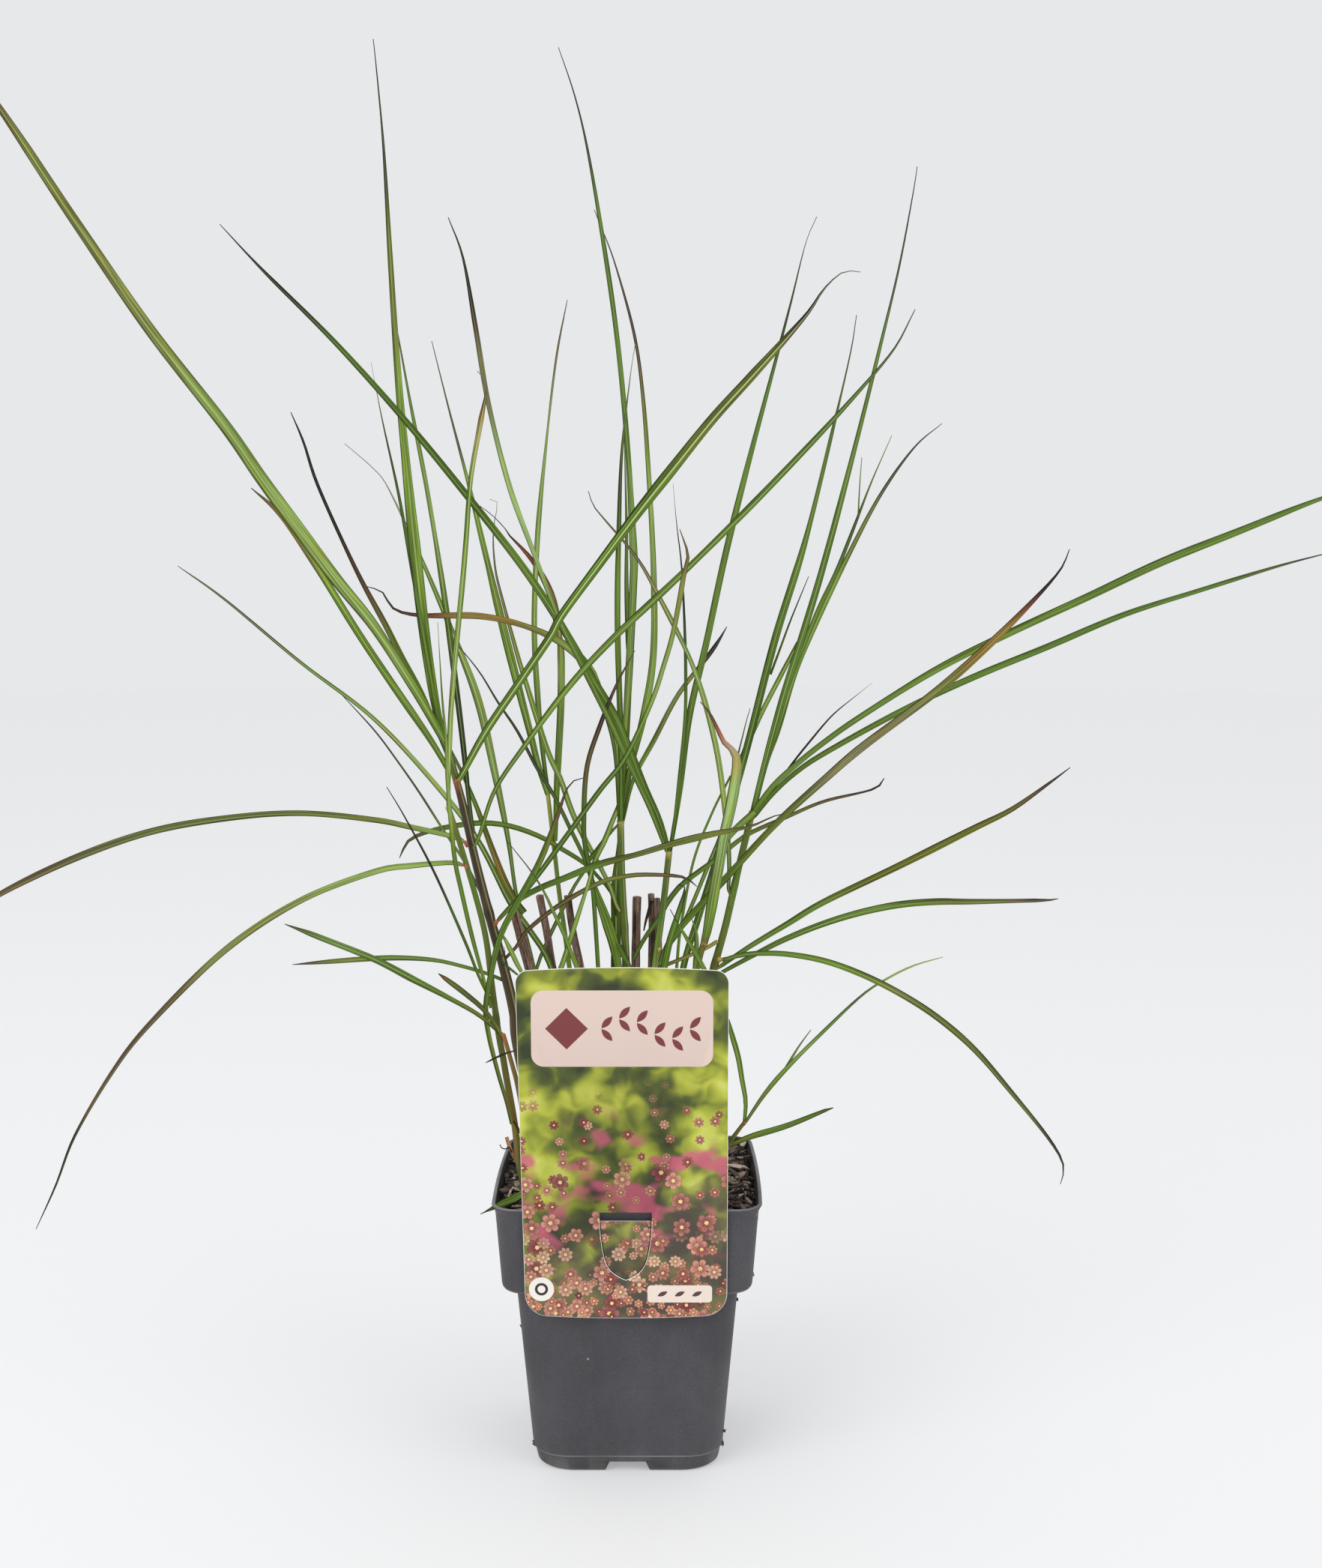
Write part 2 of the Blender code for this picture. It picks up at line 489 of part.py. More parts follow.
def rounded_square(width, corner, z, bow=0.0):
    """Points of a square with round corners, counter-clockwise seen from above.

    The bow is how far the left and right sides bulge out in their middle.
    """
    half = width / 2
    reach = half - corner
    flat = []
    for quarter, (sx, sy) in enumerate(((1, 1), (-1, 1), (-1, -1), (1, -1))):
        for k in range(CORNER_STEPS + 1):
            turn = math.pi / 2 * (quarter + k / CORNER_STEPS)
            flat.append((sx * reach + corner * math.cos(turn), sy * reach + corner * math.sin(turn)))
        if quarter in (1, 3):
            flat += [(sx * half, sy * reach * share) for share in (0.5, 0, -0.5)]
    return [Vector((x + bow * (1 - (y / half) ** 2) * x / half, y, z)) for x, y in flat]


def wall_bow(z):
    """How far the side walls bulge at a height: not at all under the collar, and most at the rim."""
    return SIDE_BOW * max(0, 1 - (POT_HEIGHT - z) / COLLAR_HEIGHT)


def lofted(builder, outlines):
    """Skin closed outlines one after the other, and close the first and the last."""
    rings = [[builder.verts.new(p) for p in outline] for outline in outlines]
    for ring, after in zip(rings, rings[1:]):
        bridge(builder, ring, after)
    builder.faces.new(reversed(rings[0]))
    builder.faces.new(rings[-1])


def box_tool(name, low, high):
    builder = bmesh.new()
    bmesh.ops.create_cube(builder, size=1)
    for vert in builder.verts:
        vert.co = Vector([low[k] if vert.co[k] < 0 else high[k] for k in range(3)])
    return add_object(name, builder, "pot")


def make_pot():
    collar_foot = POT_HEIGHT - COLLAR_HEIGHT
    under_lip = POT_HEIGHT - LIP_HEIGHT
    collar_top_width = RIM_WIDTH - 2 * LIP_PROUD
    foot = [
        (FOOT_WIDTH - 2 * FOOT_RIM, TOP_CORNER, UNDER_FLOOR),
        (FOOT_WIDTH - 2 * FOOT_RIM + 1 * MM, TOP_CORNER, 0),
        (FOOT_WIDTH - 2 * MM, FOOT_CORNER - 1 * MM, 0),
        (FOOT_WIDTH + 1 * MM, FOOT_CORNER, 1.2 * MM),
        (BODY_FOOT_WIDTH - 2 * CREASE_DEPTH, FOOT_CORNER, CREASE_HEIGHT - 1.6 * MM),
        (BODY_FOOT_WIDTH, FOOT_CORNER - 0.5 * MM, CREASE_HEIGHT),
    ]
    collar = [
        (BODY_TOP_WIDTH, TOP_CORNER, collar_foot - 1 * MM),
        (COLLAR_FOOT_WIDTH - 4 * MM, TOP_CORNER, collar_foot - 0.4 * MM),
        (COLLAR_FOOT_WIDTH, TOP_CORNER + 1 * MM, collar_foot + COLLAR_ROUND),
        (collar_top_width, TOP_CORNER, under_lip),
    ]
    lip = [
        (collar_top_width + LIP_PROUD * 0.7, TOP_CORNER, under_lip + LIP_HEIGHT * 0.48),
        (RIM_WIDTH - 0.4 * MM, TOP_CORNER, POT_HEIGHT - 1 * MM),
        (RIM_WIDTH, TOP_CORNER, POT_HEIGHT - 0.5 * MM),
        (RIM_WIDTH - 0.8 * MM, TOP_CORNER, POT_HEIGHT),
        (RIM_WIDTH - 2 * WALL - 0.4 * MM, TOP_CORNER - WALL, POT_HEIGHT),
        (collar_top_width - 2 * WALL + 1.6 * MM, TOP_CORNER - WALL, POT_HEIGHT - 1.8 * MM),
    ]
    inside = [
        (collar_top_width - 2 * WALL, TOP_CORNER - WALL, under_lip + 0.4 * MM),
        (COLLAR_FOOT_WIDTH - 2 * WALL, TOP_CORNER - WALL, collar_foot + WALL + 1.5 * MM),
        (BODY_TOP_WIDTH - 2 * WALL, TOP_CORNER - WALL, collar_foot + WALL - 1 * MM),
        (BODY_FOOT_WIDTH - 2 * WALL, FOOT_CORNER - 2 * MM, CREASE_HEIGHT + 2 * MM),
        (BODY_FOOT_WIDTH - 2 * WALL - 3 * MM, FOOT_CORNER - 3 * MM, INNER_FLOOR),
    ]
    builder = bmesh.new()
    lofted(builder, [rounded_square(width, corner, z, wall_bow(z))
                     for width, corner, z in foot + collar + lip + inside])
    pot = add_object("pot", builder, "pot", math.radians(30))

    reach = RIM_WIDTH
    half = NOTCH_WIDTH / 2
    core_half = FOOT_WIDTH / 2 - NOTCH_DEPTH
    for name, low, high in (("notches_front_back", (-half, -reach, -MM), (half, reach, NOTCH_HEIGHT)),
                            ("notches_sides", (-reach, -half, -MM), (reach, half, NOTCH_HEIGHT))):
        cutter = box_tool(name, low, high)
        core = box_tool(name + "_core", (-core_half, -core_half, UNDER_FLOOR),
                        (core_half, core_half, reach))
        boolean(cutter, core, "DIFFERENCE")
        boolean(pot, cutter, "DIFFERENCE")
    for sx in (-1, 1):
        for sy in (-1, 1):
            builder = bmesh.new()
            bmesh.ops.create_cone(builder, cap_ends=True, segments=12, radius1=DRAIN_RADIUS,
                                  radius2=DRAIN_RADIUS, depth=4 * UNDER_FLOOR)
            drain = add_object(f"drain_{sx}_{sy}", builder, "pot")
            drain.location = (sx * DRAIN_OFFSET, sy * DRAIN_OFFSET, UNDER_FLOOR)
            boolean(pot, drain, "DIFFERENCE")


def make_soil(feet):
    """The root ball, with small hollows on top except where a stem stands."""
    collar_foot = POT_HEIGHT - COLLAR_HEIGHT
    room = 2 * WALL + 2 * GAP
    corner = TOP_CORNER - WALL
    inner = RIM_WIDTH - 2 * LIP_PROUD - room
    walls = (
        (BODY_FOOT_WIDTH - room - 3 * MM, FOOT_CORNER - 3 * MM, INNER_FLOOR + GAP),
        (BODY_FOOT_WIDTH - room, FOOT_CORNER - 2 * MM, CREASE_HEIGHT + 2.4 * MM),
        (BODY_TOP_WIDTH - room, corner, collar_foot + WALL - 0.4 * MM),
        (COLLAR_FOOT_WIDTH - room - GAP, corner, collar_foot + WALL + 2.4 * MM),
        (inner - 2 * GAP, corner, SOIL_TOP - 1.4 * MM),
    )
    outlines = [rounded_square(width, radius, z, wall_bow(z)) for width, radius, z in walls]
    for share in (0.985, 0.86, 0.72, 0.58, 0.44, 0.30, 0.16):
        outline = rounded_square(inner * share, corner * share, SOIL_TOP, wall_bow(SOIL_TOP) * share)
        for point in outline:
            nearest = min((point - foot).length for foot in feet)
            bump = 0.5 + 0.5 * noise.noise(Vector((point.x, point.y, 0)) * SOIL_LUMPS)
            point.z -= SOIL_DIP * bump * min(nearest / SOIL_CALM, 1)
        outlines.append(outline)
    builder = bmesh.new()
    lofted(builder, outlines)
    add_object("soil", builder, "soil")


def label_outline():
    """Outline of the label in its own plane: across and up from the middle of its lower edge."""
    half = LABEL_WIDTH / 2
    corners = ((half, LABEL_HEIGHT, LABEL_TOP_RADIUS, 0), (-half, LABEL_HEIGHT, LABEL_TOP_RADIUS, 1),
               (-half, 0, LABEL_FOOT_RADIUS, 2), (half, 0, LABEL_FOOT_RADIUS, 3))
    outline = []
    for x, z, radius, quarter in corners:
        centre_x = x - math.copysign(radius, x)
        centre_z = z - radius if z > 0 else z + radius
        for k in range(6):
            turn = math.pi / 2 * (quarter + k / 5)
            outline.append([centre_x + radius * math.cos(turn), centre_z + radius * math.sin(turn)])
        if quarter in (0, 2):
            for share in (0.5, 0, -0.5):
                side = half * share * (1 if quarter == 0 else -1)
                outline.append([side, z])
    for point in outline:
        bow = LABEL_ARCH * (1 - (point[0] / half) ** 2)
        point[1] += bow if point[1] > LABEL_HEIGHT / 2 else -bow
        if point[0] < 0:
            point[0] *= 1 - LABEL_TAPER / half * (1 - point[1] / LABEL_HEIGHT)
    return outline


def make_label():
    """The label's plate, its window, and the tab that hooks over the rim."""
    lip_front = -RIM_WIDTH / 2 - GAP
    slope = math.tan(LABEL_LEAN)

    def plate_point(across, up, behind):
        z = LABEL_BOTTOM + up
        y = lip_front - LABEL_THICKNESS - (z - POT_HEIGHT + LABEL_TOUCH) * slope + behind
        return Vector((LABEL_X + across, y, z))

    outline = label_outline()
    builder = bmesh.new()
    front = [builder.verts.new(plate_point(x, z, 0)) for x, z in outline]
    back = [builder.verts.new(plate_point(x, z, LABEL_THICKNESS)) for x, z in outline]
    bridge(builder, front, back)
    builder.faces.new(reversed(front))
    builder.faces.new(back)
    label = add_object("label", builder, "label")

    window_top = POT_HEIGHT - WINDOW_DROP
    half = WINDOW_WIDTH / 2
    window = box_tool("label_window",
                      (WINDOW_X - half, -RIM_WIDTH, window_top - WINDOW_HEIGHT),
                      (WINDOW_X + half, lip_front + GAP, window_top))
    boolean(label, window, "DIFFERENCE")

    front_y = lip_front - LABEL_THICKNESS / 2
    over = POT_HEIGHT + TAB_RISE
    inner = -RIM_WIDTH / 2 + TAB_REACH
    end = POT_HEIGHT - TAB_DROP
    profile = [(front_y, over), (front_y, over + LABEL_THICKNESS),
               (inner + LABEL_THICKNESS, over + LABEL_THICKNESS), (inner + 2 * LABEL_THICKNESS, end),
               (inner + LABEL_THICKNESS, end), (inner, over)]
    builder = bmesh.new()
    sides = []
    for x in (WINDOW_X - TAB_WIDTH / 2, WINDOW_X + TAB_WIDTH / 2):
        sides.append([builder.verts.new((x, y, z)) for y, z in profile])
    bridge(builder, sides[0], sides[1])
    builder.faces.new(reversed(sides[0]))
    builder.faces.new(sides[1])
    boolean(label, add_object("label_tab", builder, "label"), "UNION")


def make_blade(name, blade):
    builder = bmesh.new()
    blade_mesh(blade, builder)
    return add_object(name, builder, "leaf", math.radians(35))


def make_stem(name, stem, look):
    """A stem with the young blades that grow from it. Returns where it stands."""
    builder = bmesh.new()
    foot = stem_mesh(stem, builder)
    made = add_object(name, builder, look, math.radians(40))
    for k, blade in enumerate(YOUNG_BLADES.get(name, ())):
        boolean(made, make_blade(f"{name}_young_{k + 1}", blade), "UNION")
    return foot


def main():
    clear_scene()
    make_pot()
    feet = [make_stem(name, stem, STEM_LOOKS.get(name, "stem")) for name, stem in STEMS.items()]
    feet += [make_stem(name, cane, "old_cane") for name, cane in CANES.items()]
    make_soil(feet)
    make_label()
    for name, blade in BLADES.items():
        make_blade(name, blade)


main()
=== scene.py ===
"""The looks of the potted miscanthus grass clump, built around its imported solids.

Metres, +Z up, -Y to the front. Courses of leaves and stems are points of the front view, in pixels of a
1764 x 2092 picture, at a depth behind the middle of the pot (mm). Widths and radii are in millimetres.
"""
import math
import random

import bmesh
import bpy
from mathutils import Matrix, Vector, noise


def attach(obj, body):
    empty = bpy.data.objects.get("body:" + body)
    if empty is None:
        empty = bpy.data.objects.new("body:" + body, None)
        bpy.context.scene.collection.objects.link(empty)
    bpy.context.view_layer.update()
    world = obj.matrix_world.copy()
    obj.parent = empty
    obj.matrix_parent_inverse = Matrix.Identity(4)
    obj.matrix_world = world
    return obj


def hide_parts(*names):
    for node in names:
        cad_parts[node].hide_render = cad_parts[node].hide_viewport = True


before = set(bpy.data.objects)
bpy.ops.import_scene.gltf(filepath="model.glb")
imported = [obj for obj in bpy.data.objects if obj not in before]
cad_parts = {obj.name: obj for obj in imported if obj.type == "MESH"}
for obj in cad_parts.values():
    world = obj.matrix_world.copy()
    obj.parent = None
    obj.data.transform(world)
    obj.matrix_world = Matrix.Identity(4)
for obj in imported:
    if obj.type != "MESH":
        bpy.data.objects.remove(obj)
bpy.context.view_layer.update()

MM = 0.001
GAP = 0.3 * MM

# The front view.
VIEW_PIXELS_HIGH = 2092
VIEW_CENTRE_U, VIEW_CENTRE_V = 882, 1046
VIEW_FOCAL = 2600
VIEW_DISTANCE = 0.819
VIEW_HEIGHT = 0.3636
VIEW_SIDE = 0.0139
VIEW_PITCH = math.radians(5.54)
SENSOR = 36

# Pot, soil and label, as in the solids.
RIM_WIDTH = 109.4 * MM
POT_HEIGHT = 117 * MM
LIP_HEIGHT = 4.6 * MM
LIP_PROUD = 1.4 * MM
SIDE_BOW = 1.4 * MM
COLLAR_HEIGHT = 36.5 * MM
COLLAR_FOOT_WIDTH = 103 * MM
COLLAR_ROUND = 2.2 * MM
BODY_TOP_WIDTH = 91.6 * MM
BODY_FOOT_WIDTH = 79.6 * MM
FOOT_WIDTH = 75.4 * MM
CREASE_HEIGHT = 7.2 * MM
CREASE_DEPTH = 0.7 * MM
WALL = 1.1 * MM
TOP_CORNER = 10 * MM
FOOT_CORNER = 15.5 * MM
INNER_FLOOR = 6.6 * MM
UNDER_FLOOR = 3.0 * MM
FOOT_RIM = 7 * MM
NOTCH_WIDTH = 17 * MM
NOTCH_FLARE = 4 * MM
NOTCH_HEIGHT = 4.6 * MM
NOTCH_DEPTH = 3 * MM
DRAIN_SIDES = 32
DRAIN_RADIUS = 4 * MM
DRAIN_OFFSET = 22 * MM
SOIL_TOP = 114 * MM
LABEL_WIDTH = 84.4 * MM
LABEL_HEIGHT = 143.4 * MM
LABEL_BOTTOM = 72.8 * MM
LABEL_THICKNESS = 0.6 * MM
LABEL_LEAN = math.radians(4)
LABEL_X = -1.5 * MM
LABEL_TOP_RADIUS = 5 * MM
LABEL_FOOT_RADIUS = 9 * MM
LABEL_ARCH = 1.5 * MM
LABEL_TAPER = 2.6 * MM
LABEL_TOUCH = 1.6 * MM
LABEL_CORNER_STEPS = 10
LABEL_SIDE_STEPS = 12
WINDOW_X = -0.3 * MM
WINDOW_WIDTH = 21 * MM
WINDOW_HEIGHT = 3.6 * MM
WINDOW_DROP = 0.6 * MM
TAB_WIDTH = 19 * MM
TAB_RISE = 0.5 * MM
TAB_DROP = 2.2 * MM
TAB_REACH = 4.7 * MM

# How finely things are cut.
CURVE_STEPS = 12
CORNER_STEPS = 12
SIDE_STEPS = 10
BLADE_STEP = 4 * MM
STEM_STEP = 3.5 * MM
STEM_SIDES = 20
CANE_STEP = 1.6 * MM
CANE_SIDES = 26
COLLAR_SIDES = 12

# Blades: how they leave their plane, their keel and thickness, and the ripple along their length.
DEPTH_POWER = 1.6
KEEL_SHARE = 0.2
KEEL_POWER = 1.4
BLADE_THICKNESS = 0.38 * MM
BLADE_EDGE = 0.1 * MM
TIP_THINNING = 0.6
FULL_HALF_WIDTH = 0.8 * MM
ACROSS = (-1, -0.74, -0.42, -0.13, 0, 0.13, 0.42, 0.74, 1)
UNDERSIDE_RIB = 0.3
RIPPLE_SCALE = 30
RIPPLE_SEED = 3.1
WIDTH_RIPPLE = 0.05

# Roll of most blades at base and tip, and how far the ripple changes it (degrees).
USUAL_ROLL = (5, 15)
ROLL_RIPPLE = 7

# How far above the soil the middle of a blade starts at the least.
LOWEST_START = 1 * MM

# Stems and canes, in shares of length and radius: swollen joints with a dark line, the wrap of the sheath,
# and the furrows of dead canes.
JOINT_SWELLING = 0.13
JOINT_REACH = 0.012
JOINT_SHADE = 0.35
JOINT_LINE_REACH = 0.006
SHEATH_WRAP = 0.06
FURROW_DEPTH = 0.16

# Seeds: the steps between like pieces, the number that added blades count from, the mulch and the crumbs.
BLADE_SEED_STEP = 0.7
STEM_SEED_STEP = 1.3
CANE_SEED_STEP = 3.7
FIRST_ADDED_BLADE = 60
MULCH_SEED = 11
CRUMB_SEED = 5

# Colours as they look in even light (sRGB, 0-255): the plant, bark and soil, the pot, and the label.
COLOURS = {
    "pale": (138, 166, 100),
    "light": (120, 145, 70),
    "bright": (104, 134, 44),
    "mid": (84, 113, 31),
    "deep": (74, 105, 28),
    "pine": (62, 92, 12),
    "dark": (37, 52, 17),
    "grey": (104, 131, 64),
    "olive": (93, 103, 36),
    "moss": (110, 118, 56),
    "brass": (88, 94, 6),
    "bog": (80, 90, 36),
    "bronze": (130, 106, 47),
    "dun": (114, 112, 74),
    "brown": (84, 68, 38),
    "purple": (50, 29, 24),
    "black": (17, 12, 10),
    "khaki": (155, 149, 94),
    "straw": (200, 152, 106),
    "rust": (110, 54, 39),
    "collar": (168, 160, 74),
    "red": (164, 88, 54),
    "umber": (68, 54, 38),
    "bud": (176, 132, 58),
    "weathered": (164, 138, 122),
    "ash": (112, 118, 112),
    "bark": (136, 108, 92),
    "furrow": (42, 31, 27),
    "humus": (27, 22, 20),
    "peat": (58, 47, 41),
    "splinter": (96, 78, 68),
    "chip": (142, 122, 108),
    "pale_chip": (196, 180, 162),
    "midrib": (204, 216, 152),
    # The pale line of a sheath's edge is partly a painted highlight along the stem.
    "sheath_edge_and_highlight": (168, 164, 118),
    "fleck": (54, 38, 30),
    "blotch": (112, 96, 48),
    "cane_stain": (128, 96, 78),
    "soil_dark": (20, 15, 12),
    "soil": (44, 33, 26),
    "soil_pale": (76, 58, 44),
    "pot_dark": (64, 63, 67),
    "pot": (75, 74, 78),
    # The pale of the pot's edges is partly rubbed wear and partly painted highlight.
    "worn_and_lit": (136, 133, 134),
    "dust": (112, 108, 104),
    "pale_speck": (176, 172, 166),
    "dark_speck": (40, 32, 28),
    "inside_dark": (20, 17, 16),
    "inside_mid": (44, 38, 35),
    "inside_pale": (74, 66, 62),
    "print_shade": (80, 70, 66),
    "rose": (196, 94, 118),
    "petal_root": (96, 34, 42),
    "blossom_eye": (240, 206, 138),
    "panel": (218, 196, 186),
    "maroon": (122, 60, 62),
    "ink": (60, 52, 48),
    "plate": (230, 214, 202),
    "plate_ink": (88, 64, 60),
    "print_white": (234, 228, 220),
    "card": (226, 224, 220),
    "card_pale": (240, 239, 236),
}


def rgb(colour):
    """Linear colour of an sRGB triple, or of a name in COLOURS."""
    triple = COLOURS[colour] if isinstance(colour, str) else colour
    return tuple((c / 255 / 12.92) if c <= 10 else ((c / 255 + 0.055) / 1.055) ** 2.4 for c in triple)


